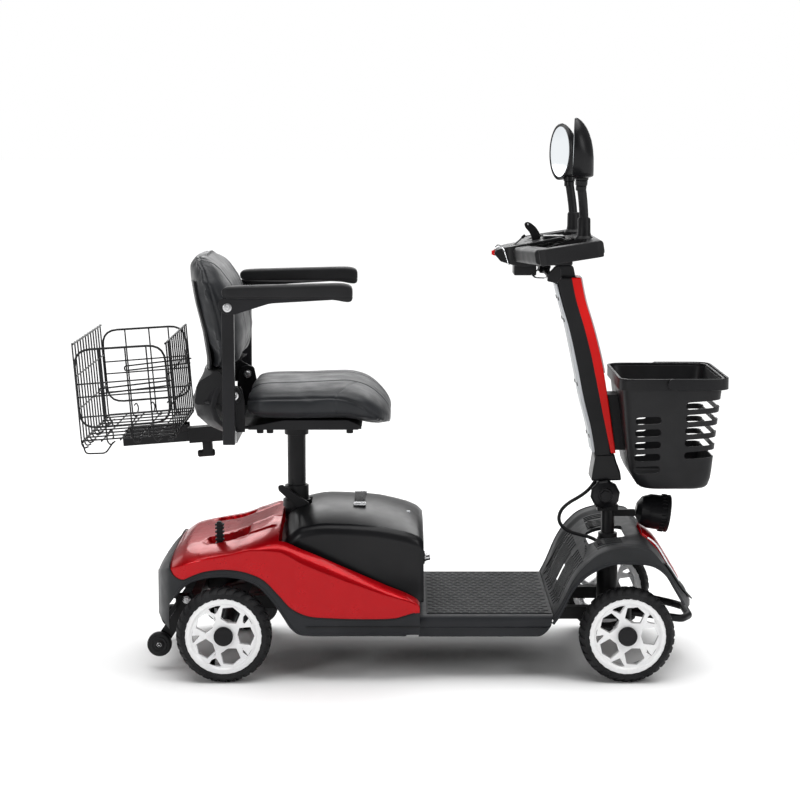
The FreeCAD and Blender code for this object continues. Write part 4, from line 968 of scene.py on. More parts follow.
# ---------------------------------------------------------------- headlight
refined("headlight_shell", CASE, "black_gloss", 0.6)
lamp_axis = Vector((1, 0, -0.14)).normalized()
lamp_centre = Vector((552, 0, 301))
bezel = revolve("headlight_bezel", [(30, -4), (38.8, -4), (39.4, -2), (39.4, 2.2), (38, 3.4), (32, 3.4),
                                    (30, 1)], lamp_centre,
                lamp_axis, 56, closed=True)
piece(bezel, "column", BLACK, "black_gloss")
fins = []
across = Vector((0, 1, 0))
for angle in turns(28):
    foot = lamp_centre + (across * math.cos(angle) + lamp_axis.cross(across) * math.sin(angle)) * 38.6
    fins.append(rod("fin", foot - lamp_axis * 15, foot - lamp_axis * 5, 1.3, 8, 0.3))
piece(joined("headlight_fins", fins), "column", BLACK, "black_gloss")
lens = revolve("headlight_lens", [(31.5, -3), (31.5, 0.5), (26, 3.4), (16, 5.6), (0.1, 6.4)],
               lamp_centre, lamp_axis, 48)
piece(lens, "column", LIGHT, "light_grey")

# ---------------------------------------------------------------- seat cushion and backrest
VOXEL, PRESSURE, MOST_SWELL = 5, 3.0, 5
CLOTH_STEPS = 20
NOT_HERE = 99


def inflated(made):
    """A stuffed look: even mesh, a short cloth simulation under pressure, limited swelling, one subdivision."""
    remesh = made.modifiers.new("remesh", "REMESH")
    remesh.mode = "VOXEL"
    remesh.voxel_size = VOXEL * MM
    baked(made)
    rest = np.array([v.co for v in made.data.vertices], float)
    cloth = made.modifiers.new("cloth", "CLOTH")
    cloth.settings.use_pressure = True
    cloth.settings.uniform_pressure_force = PRESSURE
    cloth.settings.quality = 4
    cloth.settings.effector_weights.gravity = 0
    cloth.settings.tension_stiffness = 30
    cloth.settings.compression_stiffness = 30
    cloth.settings.bending_stiffness = 4
    cloth.collision_settings.use_collision = False
    for step in range(1, CLOTH_STEPS + 1):
        scene.frame_set(step)
    baked(made)
    scene.frame_set(1)
    move = np.array([v.co for v in made.data.vertices], float) - rest
    length = np.linalg.norm(move, axis=1, keepdims=True)
    move *= np.minimum(1, MOST_SWELL * MM / np.maximum(length, 1e-9))
    made.data.vertices.foreach_set("co", (rest + move).ravel())
    smooth = made.modifiers.new("smooth", "SMOOTH")
    smooth.factor = 0.5
    smooth.iterations = 6
    made.modifiers.new("subdivision", "SUBSURF").levels = 1
    return shade(baked(made), 180)


def sewn(made, grooves):
    """Presses narrow channels into the surface. Each groove is (distance function, half width, depth), in mm."""
    co = np.array([v.co for v in made.data.vertices], float) / MM
    normal = np.array([v.normal for v in made.data.vertices], float)
    for distance, half_width, depth in grooves:
        reach = np.exp(-(distance(co) / half_width) ** 2)
        co -= normal * (reach * depth)[:, None]
    made.data.vertices.foreach_set("co", (co * MM).ravel())
    made.data.update()
    return made


SEAT_TOP = [(-316, 580), (-290, 585), (-200, 587), (-150, 589), (-110, 589), (-75, 579), (-50, 560),
            (-34, 541), (-25, 522)]
SEAT_LOW = [(-316, 530), (-290, 528), (-200, 527), (-150, 527), (-110, 526), (-75, 518), (-50, 509),
            (-34, 503), (-25, 501)]


def level_at(line, x):
    """The line's value at x, which may be an array."""
    return np.interp(x, [p[0] for p in line], [p[1] for p in line])


def seat_half_width(x):
    front = math.sqrt(max(1 - max((x + 112) / 90, 0) ** 2.6, 0.0))
    rear = 1 - 0.2 * max((-280 - x) / 36, 0) ** 2
    return 66 + 145 * (front * rear)


rings = []
seat_xs = list(np.linspace(-316, -60, 36)) + [-54, -48, -42, -37, -33, -30, -27.5, -26]
smooth_top = smooth_line(SEAT_TOP, 6)
smooth_low = smooth_line(SEAT_LOW, 6)
for x in seat_xs:
    half = seat_half_width(x) - 3
    top, low = level_at(smooth_top, x) - 2, level_at(smooth_low, x) + 2
    ring = []
    for angle in turns(72):
        sine = math.sin(angle)
        y = half * power(math.cos(angle), 0.42)
        share = abs(y) / max(half, 1)
        middle = low + (top - low) * 0.42
        if sine >= 0:
            z = middle + (top - middle - 7 * share**2) * abs(sine) ** 0.55
        else:
            z = middle - (middle - low) * abs(sine) ** 0.4
        ring.append((x, y, z))
    rings.append(ring)
cushion = inflated(loft("seat_upholstery", rings))


def seat_seam(co):
    """Distance from the two long seams of the seat's top."""
    lane = 74 + 16 * np.clip((-130 - co[:, 0]) / 180, -1, 1)
    away = np.abs(np.abs(co[:, 1]) - lane)
    return np.where(co[:, 2] > 538, away, NOT_HERE)


def seat_border(co):
    """Distance from the seam where the top panel meets the sides, which turns down at the nose."""
    drop = 17 + 20 * np.clip((co[:, 0] + 150) / 100, 0, 1) ** 1.5
    top = level_at(smooth_top, co[:, 0])
    return np.where(np.abs(co[:, 1]) > 120, np.abs(co[:, 2] - (top - drop)), NOT_HERE)


def seat_nose(co):
    """The cross seam near the front corners."""
    line = -92 - 44 * (np.abs(co[:, 1]) / 200) ** 2
    return np.where((co[:, 2] > 540) & (np.abs(co[:, 1]) > 76), np.abs(co[:, 0] - line), NOT_HERE)


sewn(cushion, [(seat_seam, 2.6, 3.4), (seat_border, 2.4, 3.0), (seat_nose, 2.2, 1.8)])
piece(cushion, "seat", LEATHER, "leatherette", "seat_cushion")

BACK_REAR = [(622, -405), (660, -403), (700, -411), (756, -424), (800, -432), (836, -437), (852, -431)]
BACK_FRONT = [(622, -352), (640, -322), (690, -314), (740, -323), (790, -343), (825, -368), (852, -410)]
BACK_HALF = [(622, 158), (640, 178), (670, 196), (700, 202), (760, 203), (800, 196), (830, 172),
             (846, 138), (852, 110)]
BACK_SHRINK = 3


def back_ring(z):
    """A level outline of the backrest before it swells, dished in front and hollow behind."""
    rear = level_at(BACK_REAR, z) + BACK_SHRINK
    front = level_at(BACK_FRONT, z) - BACK_SHRINK
    half = level_at(BACK_HALF, z) - BACK_SHRINK
    rear_part = (front - rear - 10) * 0.35
    ring = []
    for angle in turns(80):
        sine = math.sin(angle)
        y = half * power(math.cos(angle), 0.5)
        share = abs(y) / half
        dish = 12 * (1 - share**2) - 6
        if sine >= 0:
            x = rear + rear_part + ((front - rear) * 0.65 - dish - 6 * share**6) * sine**0.6
        else:
            x = rear + rear_part - rear_part * abs(sine) ** 0.5 + 26 * share**3
        ring.append((x, y, z))
    return ring


levels = [622, 626, 632, 640, 652] + list(np.linspace(668, 810, 16)) + [820, 829, 836, 842, 847, 850.5]
back = inflated(loft("back_upholstery", [back_ring(z) for z in levels]))


def back_seam(co):
    """Two seams that widen towards the top of the backrest's front, and run over it."""
    lane = 62 + 62 * np.clip((co[:, 2] - 640) / 200, 0, 1) ** 1.6
    return np.where(co[:, 0] > -402, np.abs(np.abs(co[:, 1]) - lane), NOT_HERE)


def back_border(co):
    """The seam round the side of the backrest."""
    middle = level_at(BACK_REAR, co[:, 2]) * 0.58 + level_at(BACK_FRONT, co[:, 2]) * 0.42
    return np.where(np.abs(co[:, 1]) > 96, np.abs(co[:, 0] - middle - 8), NOT_HERE)


sewn(back, [(back_seam, 2.6, 3.4), (back_border, 2.4, 2.8)])
piece(back, "back", LEATHER, "leatherette", "seat_back")

SHELL_REAR = [(495, -384), (506, -404), (526, -424), (552, -432), (584, -424), (606, -411), (622, -407),
              (640, -406), (700, -414), (756, -428), (800, -436), (834, -440.5)]
SHELL_FRONT = [(495, -372), (506, -384), (526, -404), (552, -414), (584, -406), (606, -392),
               (622, -372), (640, -380), (700, -404), (756, -420), (800, -430), (834, -436)]
SHELL_HALF = [(495, 168), (506, 186), (526, 199), (552, 203), (584, 196), (606, 178), (622, 172),
              (640, 178), (700, 196), (756, 198), (800, 188), (834, 150)]
SHELL_WRAP = 44


def shell_ring(z):
    """A level outline of the lower shell, whose sides wrap forward."""
    rear, front, half = (level_at(line, z) for line in (SHELL_REAR, SHELL_FRONT, SHELL_HALF))
    shares = [step / 20 - 1 for step in range(41)]
    behind = [(rear + SHELL_WRAP * abs(share) ** 5 + 3 * share**2, share * half, z) for share in shares]
    ahead = [(front + SHELL_WRAP * 0.9 * abs(share) ** 5, -share * half * 0.985, z) for share in shares]
    return behind + ahead


shell_levels = [495, 498, 502, 508, 516, 526, 538, 552, 566, 578, 590, 600, 610, 620]
shell = loft("back_shell_lower", [shell_ring(z) for z in shell_levels])
piece(softened(shell, 2.4, 3, 50), "back", SHELL_LEATHER, "leatherette", "seat_back")
plate_rings = []
for z in np.linspace(622, 800, 24):
    rear, front, half = (level_at(line, z) for line in (SHELL_REAR, SHELL_FRONT, SHELL_HALF))
    across = [-0.84 * half + 1.68 * half * step / 24 for step in range(25)]
    ring = [(rear + 2.5 + 22 * (abs(y) / half) ** 3, y, z) for y in across]
    plate_rings.append(ring + [(x + 5, y, z) for x, y, z in reversed(ring)])
piece(softened(loft("back_plate", plate_rings), 1.2, 2, 50), "back", BLACK, "black_plastic")
lip_line = [(level_at(SHELL_REAR, 562) + SHELL_WRAP * (abs(y) / 202) ** 5 + 2, y,
             562) for y in np.linspace(-200, 200, 41)]
piece(swept("back_shell_lip", lip_line, circle(2.6, 10)), "back", SHELL_LEATHER, "leatherette")
for side, sign in SIDES:
    lug = prism(f"back_lug_{side}", rounded_flat([(-412, 600), (-418, 556), (-350, 558), (-330, 558),
                                                  (-322, 575), (-330, 591), (-352, 602),
                                                  (-372, 626)], 9, 5), "side",
                min(sign * 184, sign * 190), max(sign * 184, sign * 190), 1.0)
    piece(lug, "back", POWDER, "frame_black")
    bolt(f"back_hinge_bolt_{side}", (-338, sign * 197, 575), (0, sign, 0), 6.5, 5, "seat")
    bolt(f"back_hinge_nut_{side}", (-338, sign * 176, 575), (0, -sign, 0), 6.5, 5, "seat")

# ---------------------------------------------------------------- armrests
for side, sign in SIDES:
    body = f"{side}_armrest"
    pad_rings = []
    for x, low, high, half in ((-357, 784, 788, 14), (-354, 776, 793, 19.5), (-348, 772.5, 796.5, 21.5),
                               (-338, 771.5, 798, 22), (-260, 771.5, 800, 22), (-180, 771.5, 802, 22),
                               (-136, 771, 803, 22), (-124, 768, 803, 22), (-112, 766, 801.5, 21.6),
                               (-105, 766.5, 799, 20.5), (-101.5, 769, 794, 17),
                               (-100.4, 774, 788, 12)):
        middle, rise = (low + high) / 2, (high - low) / 2
        pad_rings.append([(x, sign * 240 + half * power(math.cos(angle), 0.36),
                           middle + rise * power(math.sin(angle), 0.5)) for angle in turns(32)])
    pad = loft(f"arm_pad_{side}", pad_rings, sharp=60)
    pad.modifiers.new("subdivision", "SUBSURF").levels = 2
    baked(pad)
    shade(pad, 180)
    sewn(pad, [(lambda co: co[:, 2] - 776.5, 0.9, 1.0)])
    piece(pad, body, RUBBER, "foam_rubber", f"armrest_{side}")
    plate_outline = rounded_flat([(-349, 742), (-332, 742), (-262, 764), (-140, 771), (-140, 774),
                                  (-362, 774), (-362, 752)], 9, 5)
    low, high = sorted((sign * 250.5, sign * 255))
    piece(prism(f"arm_plate_{side}", plate_outline, "side", low, high, 0.8), body, SATIN, "bar_black")
    bolt(f"arm_pivot_bolt_{side}", (-345, sign * 255, 756), (0, sign, 0), 6.4, 4.5, body)
    refined(f"arm_post_{side}", SATIN, "bar_black", 1.6)

for side, sign in SIDES:
    end = block(f"arm_tube_end_{side}", (-357, sign * 208 - 2.5, 482), (-333, sign * 208 + 2.5, 506),
                1.2)
    piece(end, "seat", STEEL, "steel")

# ---------------------------------------------------------------- under the seat
feet = [rod("foot", (x, y, 500), (x, y, 489), 7, 20) for x in (-292, -272, -110) for y in (-118, 118)]
piece(joined("seat_feet", feet), "seat", RUBBER, "foam_rubber")
clamp_turn = about((-358, 0, 475), (0, 1, 0), -4.5)
knob_parts = [rod("stem", (-415, 0, 461), (-415, 0, 437), 4.5, 20),
              rod("bar", (-434, 0, 434), (-398, 0, 434), 7.5, 20, 2.5),
              rod("hub", (-415, 0, 444), (-415, 0, 432), 9, 24, 2)]
knob_piece = moved(joined("bar_clamp_knob", knob_parts), clamp_turn)
piece(knob_piece, "seat", RUBBER, "foam_rubber")

# ---------------------------------------------------------------- rear wire basket, in its own tilted frame
SAG = math.radians(4.5)
LENGTH, HALF = 186, 200


def in_basket(u, v, w):
    """A point from the rear basket's own frame: along, across and up from its low rear edge."""
    return (-643 + u * math.cos(SAG) - w * math.sin(SAG), v,
            480 + u * math.sin(SAG) + w * math.cos(SAG))


def basket_wire(points, radius=1.6, corner=0.0, closed=False):
    path = rounded(points, corner, closed) if corner else points
    return wire("wire", [in_basket(*p) for p in path], radius, closed, 7)


wires = []
for w, radius in ((2, 2.3), (199, 2.3), (68, 1.6), (134, 1.6)):
    wires.append(basket_wire([(1.5, -HALF + 2, w), (1.5, HALF - 2, w)], radius))
for w, radius in ((2, 2.3), (186, 2.3), (62, 1.6), (124, 1.6)):
    wires.append(basket_wire([(LENGTH - 1.5, -HALF + 2, w), (LENGTH - 1.5, HALF - 2, w)], radius))
for step in range(12):
    v = -HALF + 4 + step * (2 * HALF - 8) / 11
    wires.append(basket_wire([(13, v, -8), (4, v, -11), (0, v, -3), (0, v, 201)], corner=5))
    wires.append(basket_wire([(LENGTH - 14, v, -6), (LENGTH - 4, v, -9), (LENGTH, v, -2),
                              (LENGTH, v, 188)], corner=5))
for step in range(9):
    v = -HALF + 8 + step * (2 * HALF - 16) / 8
    wires.append(basket_wire([(1, v, 3.4), (LENGTH - 1, v, 3.4)]))
for u in (1.5, 40, 78, 116, 152, 184.5):
    wires.append(basket_wire([(u, -HALF + 2, 0.8), (u, HALF - 2, 0.8)],
                             2.0 if u in (1.5, 184.5) else 1.6))
for side, sign in SIDES:
    v = sign * HALF
    frame_line = [(2, v, 30), (2, v, 187), (LENGTH - 4, v, 184), (LENGTH - 3, v, 30)]
    wires.append(basket_wire(frame_line, 2.3, 34, True))
    for u in (52, 104, 146):
        wires.append(basket_wire([(u + 14, v * 0.96, -2), (u + 6, v * 1.005, -8), (u, v * 1.005, 0),
                                  (u, v, 186)], corner=6))
    for w in (52, 92, 118):
        wires.append(basket_wire([(2, v * 0.995, w), (LENGTH - 2, v * 0.995, w)]))
    hairpin = [(LENGTH + 5, v * 0.985, 112), (44, v * 0.985, 106), (44, v * 0.985, 96),
               (LENGTH + 2, v * 0.985, 102)]
    wires.append(basket_wire(hairpin, 1.7, 5))
    wires.append(basket_wire([(LENGTH - 4, v * 0.985, 103), (LENGTH - 4, v * 0.985, 132)], 2.6))
    wires.append(basket_wire([(2, v * 0.98, -2), (6, v * 0.98, -22), (46, v * 0.98, -24),
                              (62, v * 0.96, -4)], 1.7, 7))
    for u in (60, 96, 132):
        hook = [(u, v * 0.9, 3), (u + 4, v * 0.985, 3), (u + 6, v * 1.01, 14), (u + 2, v * 1.0, 24),
                (u - 3, v * 0.99, 18)]
        wires.append(basket_wire(hook, 1.5, 7))
basket_body = joined("rear_basket_wires", wires)
piece(shade(basket_body, 60), "seat", WIRE, "wire_black", "rear_basket")
channel = prism("basket_channel", [(-26, -15), (26, -15), (26, -3), (22, -3), (22, -11), (-22, -11),
                                   (-22, -3), (-26, -3)],
                "front", 64, LENGTH + 8, 0.8)
for vertex in channel.data.vertices:
    u, v, w = vertex.co / MM
    vertex.co = Vector(in_basket(u, v, w)) * MM
piece(channel, "seat", POWDER, "frame_black")

# ---------------------------------------------------------------- tiller
TILT_X, TILT_Z = 417, 350
TILLER_REAR = [(393, 380), (396, 420), (387, 480), (370, 546), (357, 610), (340, 691), (324, 750),
               (312, 800)]
TILLER_FRONT = [(358, 800), (366, 750), (384, 691), (401, 620), (414, 546), (424, 480), (432, 424),
                (436, 380)]
rear_line, front_line = smooth_line(TILLER_REAR, 7), smooth_line(TILLER_FRONT, 7)
tiller = prism("tiller_cover_shell", rear_line + front_line, "side", -37, 37, 5, 4)
piece(tiller, "tiller", BLACK, "black_plastic", "tiller_cover")
neck = prism("tiller_neck", rounded_flat([(318, 796), (354, 796), (348, 823), (314, 823)], 5), "side",
             -26, 26, 2, 3)
piece(neck, "tiller", BLACK, "black_plastic")
collar = prism("tiller_collar", smooth_line([(389, 376), (391, 392), (396, 424), (397, 433)], 4)
               + smooth_line([(437, 433), (440, 420), (449, 396), (452, 377)], 4), "side", -39, 39, 4,
               4)
piece(collar, "tiller", CASE, "black_gloss")
lug = rod("tilt_lug", (TILT_X, -21, TILT_Z), (TILT_X, 21, TILT_Z), 17.5, 40)
lug = joined("tiller_tilt_lug", [lug, block("lug_web", (405, -21, TILT_Z), (431, 21, 386), 1.5)])
piece(lug, "tiller", POWDER, "frame_black")
stripe_front = smooth_line([(363, 799), (373, 752), (391, 693), (409, 622), (422, 548), (432, 482),
                            (439.5, 434)], 7)
STRIPE_HALF = 37.8
stripe_rear = [(x - float(np.interp(z, (434, 520, 600), (10, 16, 19.5))), z) for x,
               z in reversed(stripe_front)]
stripe = prism("tiller_stripe_panel", stripe_rear + stripe_front, "side", -STRIPE_HALF, STRIPE_HALF,
               2.2, 3)
piece(stripe, "tiller", RED_PLASTIC, "red_gloss", "tiller_stripe")
# A light grey strip along the upper front edge of the red stripe: a painted highlight where the light catches
# the tiller's front edge.
highlight_line = [(x + 1.2, z) for x, z in reversed(stripe_front) if z > 592]
highlight_strip = prism("tiller_edge_painted_highlight", [(x - 2, z) for x, z in highlight_line] + [(x + 2.2, z) for x,
                                                                        z in reversed(highlight_line)],
                   "side", -26, 26, 0.7)
piece(highlight_strip, "tiller", LIGHT, "light_grey")
PANEL_LOW, PANEL_TOP = 436, 792
panel_rear = [(x - 4.5, z) for x, z in rear_line if PANEL_LOW < z < PANEL_TOP]
panel_front = [(x - 1.5 + 4 * math.sin(0.75 * math.pi * (PANEL_TOP - z) / (PANEL_TOP - PANEL_LOW)), z)
               for x, z in reversed(rear_line) if PANEL_LOW < z < PANEL_TOP]
panel = prism("tiller_back_panel", panel_rear + panel_front, "side", -STRIPE_HALF, STRIPE_HALF, 1.6, 2)
piece(panel, "tiller", LIGHT, "light_grey", "tiller_panel")
screws = []
for z in (755, 711, 578, 470):
    x = float(np.interp(z, [p[1] for p in rear_line], [p[0] for p in rear_line])) - 4.5
    for sign in (-1, 1):
        screws.append(revolve("screw", [(4.4, -1), (4.4, 0.6), (3.4, 1.4), (1.6, 1.4), (1.4, 0.2),
                                        (0.1, 0.2)],
                              (x, sign * 29, z), (-1, 0, -0.25), 20))
piece(joined("tiller_screws", screws), "tiller", RUBBER, "black_plastic")

refined("handlebar", BLACK, "black_plastic", 3.4)
refined("grips", RUBBER, "foam_rubber", 2.6)
refined("dash", BLACK, "black_plastic", 2.0)
bar_lean = about((318, 0, 861), (0, 1, 0), -9)
for side, sign in SIDES:
    groove = [(x, sign * y, 875.2) for x, y in ((274, 241), (300, 243), (384, 243))]
    line = moved(swept(f"grip_groove_{side}", groove, circle(1.1, 8)), bar_lean)
    piece(line, "tiller", RUBBER, "foam_rubber")
trim_path = rounded([(214, -59.5, 826), (204, -52, 858), (196, -36, 863), (187, -20, 857),
                     (187, 20, 857), (196, 36, 863), (204, 52, 858), (214, 59.5, 826)], 9, False)
piece(swept("dash_trim", trim_path, circle(1.5, 10)), "tiller", SILVER, "light_grey")
gauge_bezel = block("dash_gauge", (286, -38, 868), (330, 8, 884.5), 2.6, 3)
piece(gauge_bezel, "tiller", CASE, "black_gloss")
key_rod = rod("key_rod", (219, -18, 858.5), (245, -18, 881.6), 1.9, 16)
key_collar = rod("key_collar", (216, -18, 855.8), (222, -18, 861.2), 4.2, 24)
piece(joined("ignition_key_blade", [key_rod, key_collar]), "key", STEEL, "steel", "ignition_key")
key_cap = rod("key_cap", (242, -18, 879), (249, -18, 885.2), 2.9, 16, 0.8)
piece(key_cap, "key", RUBBER, "black_plastic")
leaf_outline = [(264, 858), (277, 858), (283, 874), (281, 888), (273, 900), (262, 909), (254, 911),
                (249, 907), (251, 899), (260, 889), (265, 878)]
leaf = prism("selector_leaf", rounded_flat(leaf_outline, 4, 5), "side", 13.5, 22.5, 1.8, 3)
leaf_hub = rod("selector_hub", (270, 12, 863), (270, 24, 863), 10, 32, 1.2)
rivet = rod("selector_rivet", (256.5, 12.6, 905), (256.5, 23.4, 905), 1.6, 16)
piece(joined("selector_lever_body", [leaf, leaf_hub]), "selector", BLACK, "black_plastic",
      "selector_lever")
piece(rivet, "selector", STEEL, "steel")
refined("horn_button", RED_PLASTIC, "red_gloss", 0.6)
refined("throttle_lever", BLACK, "black_plastic", 1.6)
mount_box = block("throttle_bracket", (226, -34, 803), (272, 34, 826), 2.5, 3)
piece(mount_box, "tiller", POWDER, "frame_black")
links = []
for sign in (-1, 1):
    links.append(wire("link", rounded([(262, sign * 30, 806), (268, sign * 60, 800),
                                       (284, sign * 120, 803),
                                       (292, sign * 142, 812)], 10, False), 2.2))
piece(joined("throttle_rods", links), "throttle", STEEL, "steel")

KNOB_FACE = (TILT_X, -37, TILT_Z)
knob_profile = [(9, 0), (20, 0.4), (27.5, 4), (31, 10), (31, 17), (27, 21)]
knob = revolve("tilt_knob_body", knob_profile + [(16, 25), (15, 27.5), (0.1, 27.5)], KNOB_FACE,
               (0, -1, 0), 10,
               sharp=16)
softened(knob, 1.0, 2, 14, 16)
knob_nut = revolve("knob_nut", [(11.5, 26), (12, 29), (11, 32.5), (0.1, 33)], KNOB_FACE, (0, -1, 0), 6,
                   sharp=16)
shaft = rod("knob_shaft", (TILT_X, -40, TILT_Z), (TILT_X, 42, TILT_Z), 6)
far_nut = rod("knob_far_nut", (TILT_X, 34, TILT_Z), (TILT_X, 42, TILT_Z), 11, 6)
piece(joined("tilt_knob_finish", [knob, knob_nut, shaft, far_nut]), "knob", CASE, "black_gloss",
      "tilt_knob")

# ---------------------------------------------------------------- mirrors
MIRROR_HIGH, MIRROR_WIDE = 60, 46


def mirror_ring(share, depth):
    """One outline of the mirror head, sinking towards its foot as the dome gets deeper."""
    sink = 0.86 * MIRROR_HIGH * (1 - share)
    return [(depth, MIRROR_WIDE * share * math.cos(angle), MIRROR_HIGH * share * math.sin(angle) - sink)
            for angle in turns(64)]


for side, sign in SIDES:
    ball = Vector((352, sign * 150, 992.6))
    turn = Matrix.Rotation(math.radians(24 if sign > 0 else -4), 4,
                           "Z") @ Matrix.Rotation(math.radians(1.5), 4, "Y")
    lift = 60 if sign > 0 else 71
    centre = ball + turn @ Vector((-16, sign * 14, lift))
    place = Matrix.Translation(centre * MM) @ turn
    dome = ((0.90, 1.2), (0.945, -2.0), (0.985, -2.3), (1.0, 0.4), (0.99, 5), (0.955, 11), (0.9, 17),
            (0.82, 23), (0.72, 28.5), (0.6, 33), (0.46, 36.2), (0.3, 38.2), (0.14, 39), (0.03, 39.2))
    head = moved(loft(f"mirror_shell_{side}", [mirror_ring(*row) for row in dome], sharp=60), place)
    boot = [(9.4, -13), (10.6, -12), (10.9, -4), (10.0, -3), (12.0, -2), (12.5, 7), (11.6, 8),
            (13.4, 9), (14.0, 18), (13.2, 26), (13.4, 34), (10, 42), (4, 46)]
    neck = revolve("mirror_neck", boot, ball, turn @ Vector((0.03, sign * 0.06, 1)), 32)
    piece(joined(f"mirror_head_body_{side}", [head, neck]), f"{side}_mirror", CASE, "black_gloss",
          f"mirror_head_{side}")
    faces = [(0.905, 0.9), (0.89, -1.4), (0.6, -2.0), (0.3, -2.3), (0.02, -2.4)]
    rings = [[(depth, y * share, z * share) for _, y, z in mirror_ring(1, 0)] for share, depth in faces]
    glass = moved(loft(f"mirror_glass_{side}", rings, sharp=60), place)
    piece(glass, f"{side}_mirror", GLASS, "steel")
    flange = revolve("flange", [(19, -3), (19.5, 0), (18, 2), (14.6, 5), (13.2, 12), (12.8, 38),
                                (11.6, 41), (9, 42)],
                     (360, sign * 130, 884.5), (0, 0, 1), 36)
    sleeve = wire("sleeve", smooth_line([(360, sign * 130.5, 900), (359, sign * 134, 930),
                                         (356, sign * 143, 960),
                                         (352.6, sign * 149, 984)], 6), 9.2, False, 24)
    piece(joined(f"mirror_stem_sleeve_{side}", [flange, sleeve]), f"{side}_mirror_stem", BLACK,
          "black_gloss",
          f"mirror_stem_{side}")

# ---------------------------------------------------------------- front basket
TUB = [(370, 492, 612, 98), (372.5, 485, 619, 104), (378, 478, 624, 109), (392, 469, 628, 114),
       (408, 462, 630, 117), (430, 458, 632, 119), (500, 450, 637, 131), (580, 441, 644, 145),
       (597, 438.5, 645.5, 148)]


def tub_ring(z, back_x, ahead, across, inset=0.0, corner=30):
    outline = [(back_x + inset, -across + inset, z), (ahead - inset, -across + inset, z),
               (ahead - inset, across - inset, z), (back_x + inset, across - inset, z)]
    return rounded(outline, max(corner - inset, 4), True, 8)


outer = loft("front_basket_shell", [tub_ring(*row) for row in TUB])
inner_rows = [(373.4, 492, 612, 98)] + TUB[2:-1] + [(640, 432, 655, 156)]
inner = loft("inner", [tub_ring(*row, inset=3.0) for row in inner_rows])
tub = combined(outer, inner)


def capsule(first, last, z, radius, tilt):
    """A long slot's outline with round ends."""
    points = []
    for end, turn in ((first, math.pi / 2), (last, -math.pi / 2)):
        rise = tilt * (1 if end == last else -1) / 2
        for step in range(9):
            angle = turn + math.pi * step / 8
            points.append((end + radius * math.cos(angle), z + rise + radius * math.sin(angle)))
    return points


SIDE_SLOTS = [((476, 514), 412, 7.4, 2, "side", -190, 190),
              ((577, 640), 445, 7.4, 5, "side", -190, 190)]
FRONT_SLOTS = [((-90, -16), 446, 8, 0, "front", 600, 700), ((16, 90), 446, 8, 0, "front", 600, 700)]
for slots in (SIDE_SLOTS, FRONT_SLOTS):
    for level in range(5):
        for reach, low, radius, tilt, plane, near, far in slots:
            tub = combined(tub, prism("slot", capsule(*reach, low + 26 * level, radius, tilt), plane,
                                      near, far))
softened(tub, 0.7, 2, 45)
piece(tub, "tiller", BLACK, "black_plastic", "front_basket")
rim_line = tub_ring(600, 437, 647, 149.5, 0, 36)
rim = swept("basket_rim", rim_line, [(-2.6, -1.6), (2.6, -1.6), (3.2, 0), (2.4, 2.2), (0, 2.8),
                                     (-2.4, 2.2)], True)
skirt_line = tub_ring(589.5, 435.8, 647.6, 149.4, 0, 36)
band = swept("basket_band", skirt_line, [(-0.9, -10.5), (1.2, -10.5), (1.2, 10.5), (-0.9, 10.5)], True)
piece(joined("basket_rim_band", [rim, band]), "tiller", BLACK, "black_plastic")
bail_path = rounded([(542, -155.6, 592), (655, -155.6, 592), (655, 155.6, 592), (542, 155.6, 592)], 38,
                    False, 10)
bail = swept("bail_band", bail_path, [(-2, -11), (0, -12), (2, -11), (2, 11), (0, 12), (-2, 11)])
ends = [rod("bail_end", (542, sign * 152.8, 592), (542, sign * 158, 592), 12, 32) for sign in (-1, 1)]
pins = [rod("bail_pin", (542, sign * 147, 592), (542, sign * 156, 592), 4, 20) for sign in (-1, 1)]
piece(joined("basket_bail", [bail, *ends, *pins]), "bail", BLACK, "black_plastic", "basket_handle")

# ---------------------------------------------------------------- wiring cord
CORD_POINTS = [(397.5, -27, 372.7), (387, -30, 358), (366, -35, 343), (342, -40, 331), (324, -44, 314),
               (321, -45, 291), (339, -42, 272), (366, -37, 263), (392, -32, 256), (410, -28, 244)]
CORD_DIAMETER = 7.5
cord_data = bpy.data.curves.new("wiring_cord", "CURVE")
cord_data.dimensions = "3D"
cord_data.bevel_depth = CORD_DIAMETER / 2 * MM
cord_data.bevel_resolution = 4
cord_data.resolution_u = 12
cord_data.use_fill_caps = True
spline = cord_data.splines.new("NURBS")
spline.points.add(len(CORD_POINTS) - 1)
for point, place in zip(spline.points, CORD_POINTS):
    point.co = (*(Vector(place) * MM), 1)
spline.order_u = 3
spline.use_endpoint_u = True
cord = added("wiring_cord", cord_data)
piece(cord, "column", RUBBER, "cord_rubber", "tiller_cable")

# ---------------------------------------------------------------- studio
camera_data = bpy.data.cameras.new("camera")
camera_data.lens = 94.3
camera_data.clip_end = 200
camera = added("camera", camera_data)
camera.location = (-0.008, -4.33, 1.111)
camera.rotation_euler = (math.radians(82.5), 0, 0)
scene.camera = camera
scene.view_settings.view_transform = "Standard"

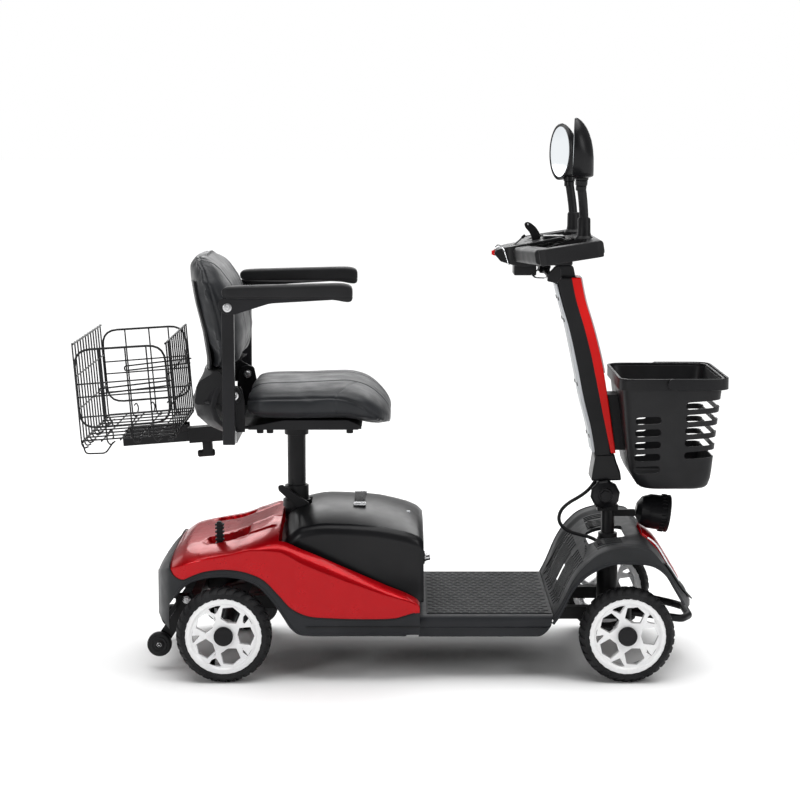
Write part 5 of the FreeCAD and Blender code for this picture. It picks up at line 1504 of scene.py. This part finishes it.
world = bpy.data.worlds.new("studio")
scene.world = world
world.use_nodes = True
tree = world.node_tree
surround = tree.nodes["Background"]
surround.inputs["Color"].default_value = (1, 1, 1, 1)
surround.inputs["Strength"].default_value = 0.16
backdrop = tree.nodes.new("ShaderNodeBackground")
backdrop.inputs["Color"].default_value = (1, 1, 1, 1)
backdrop.inputs["Strength"].default_value = 1.0
chooser = tree.nodes.new("ShaderNodeMixShader")
ray = tree.nodes.new("ShaderNodeLightPath")
tree.links.new(ray.outputs["Is Camera Ray"], chooser.inputs[0])
tree.links.new(surround.outputs[0], chooser.inputs[1])
tree.links.new(backdrop.outputs[0], chooser.inputs[2])
tree.links.new(chooser.outputs[0], tree.nodes["World Output"].inputs["Surface"])


def soft_box(name, place, aim, size, watts):
    light = bpy.data.lights.new(name, "AREA")
    light.shape = "RECTANGLE"
    light.size, light.size_y = size
    light.energy = watts
    made = added(name, light)
    made.location = place
    made.rotation_euler = (Vector(aim) - Vector(place)).to_track_quat("-Z", "Y").to_euler()


sky = bpy.data.lights.new("overhead", "SUN")
sky.energy = 3.5
sky.angle = math.radians(70)
added("overhead", sky).rotation_euler = (math.radians(-6), math.radians(4), 0)
soft_box("camera_left", (-2.4, -2.8, 1.5), (-0.2, 0, 0.3), (0.9, 0.9), 26)
soft_box("front", (2.6, -1.8, 1.9), (0.3, 0, 0.5), (1.0, 1.4), 22)
soft_box("behind", (0, 2.6, 1.6), (0, 0, 0.5), (2.6, 1.0), 24)
soft_box("card", (-4.6, 3.9, 1.6), (0.3, 0.15, 1.05), (4.5, 3.0), 42)

floor = add_mesh("studio_floor", [(-60000, -60000, 0), (60000, -60000, 0), (60000, 60000, 0),
                                  (-60000, 60000, 0)],
                 [(0, 1, 2, 3)], 180)
paper = Shader("studio_paper", 0.9, specular=0.1)
paper.colour((0.90, 0.90, 0.90), (0.92, 0.92, 0.92), paper.noise(2))
floor.data.materials.append(paper.material)

for name, node in frame["nodes"].items():
    if not node.hide_render:
        raise SystemExit(f"CAD node {name} still shows with its plain material")
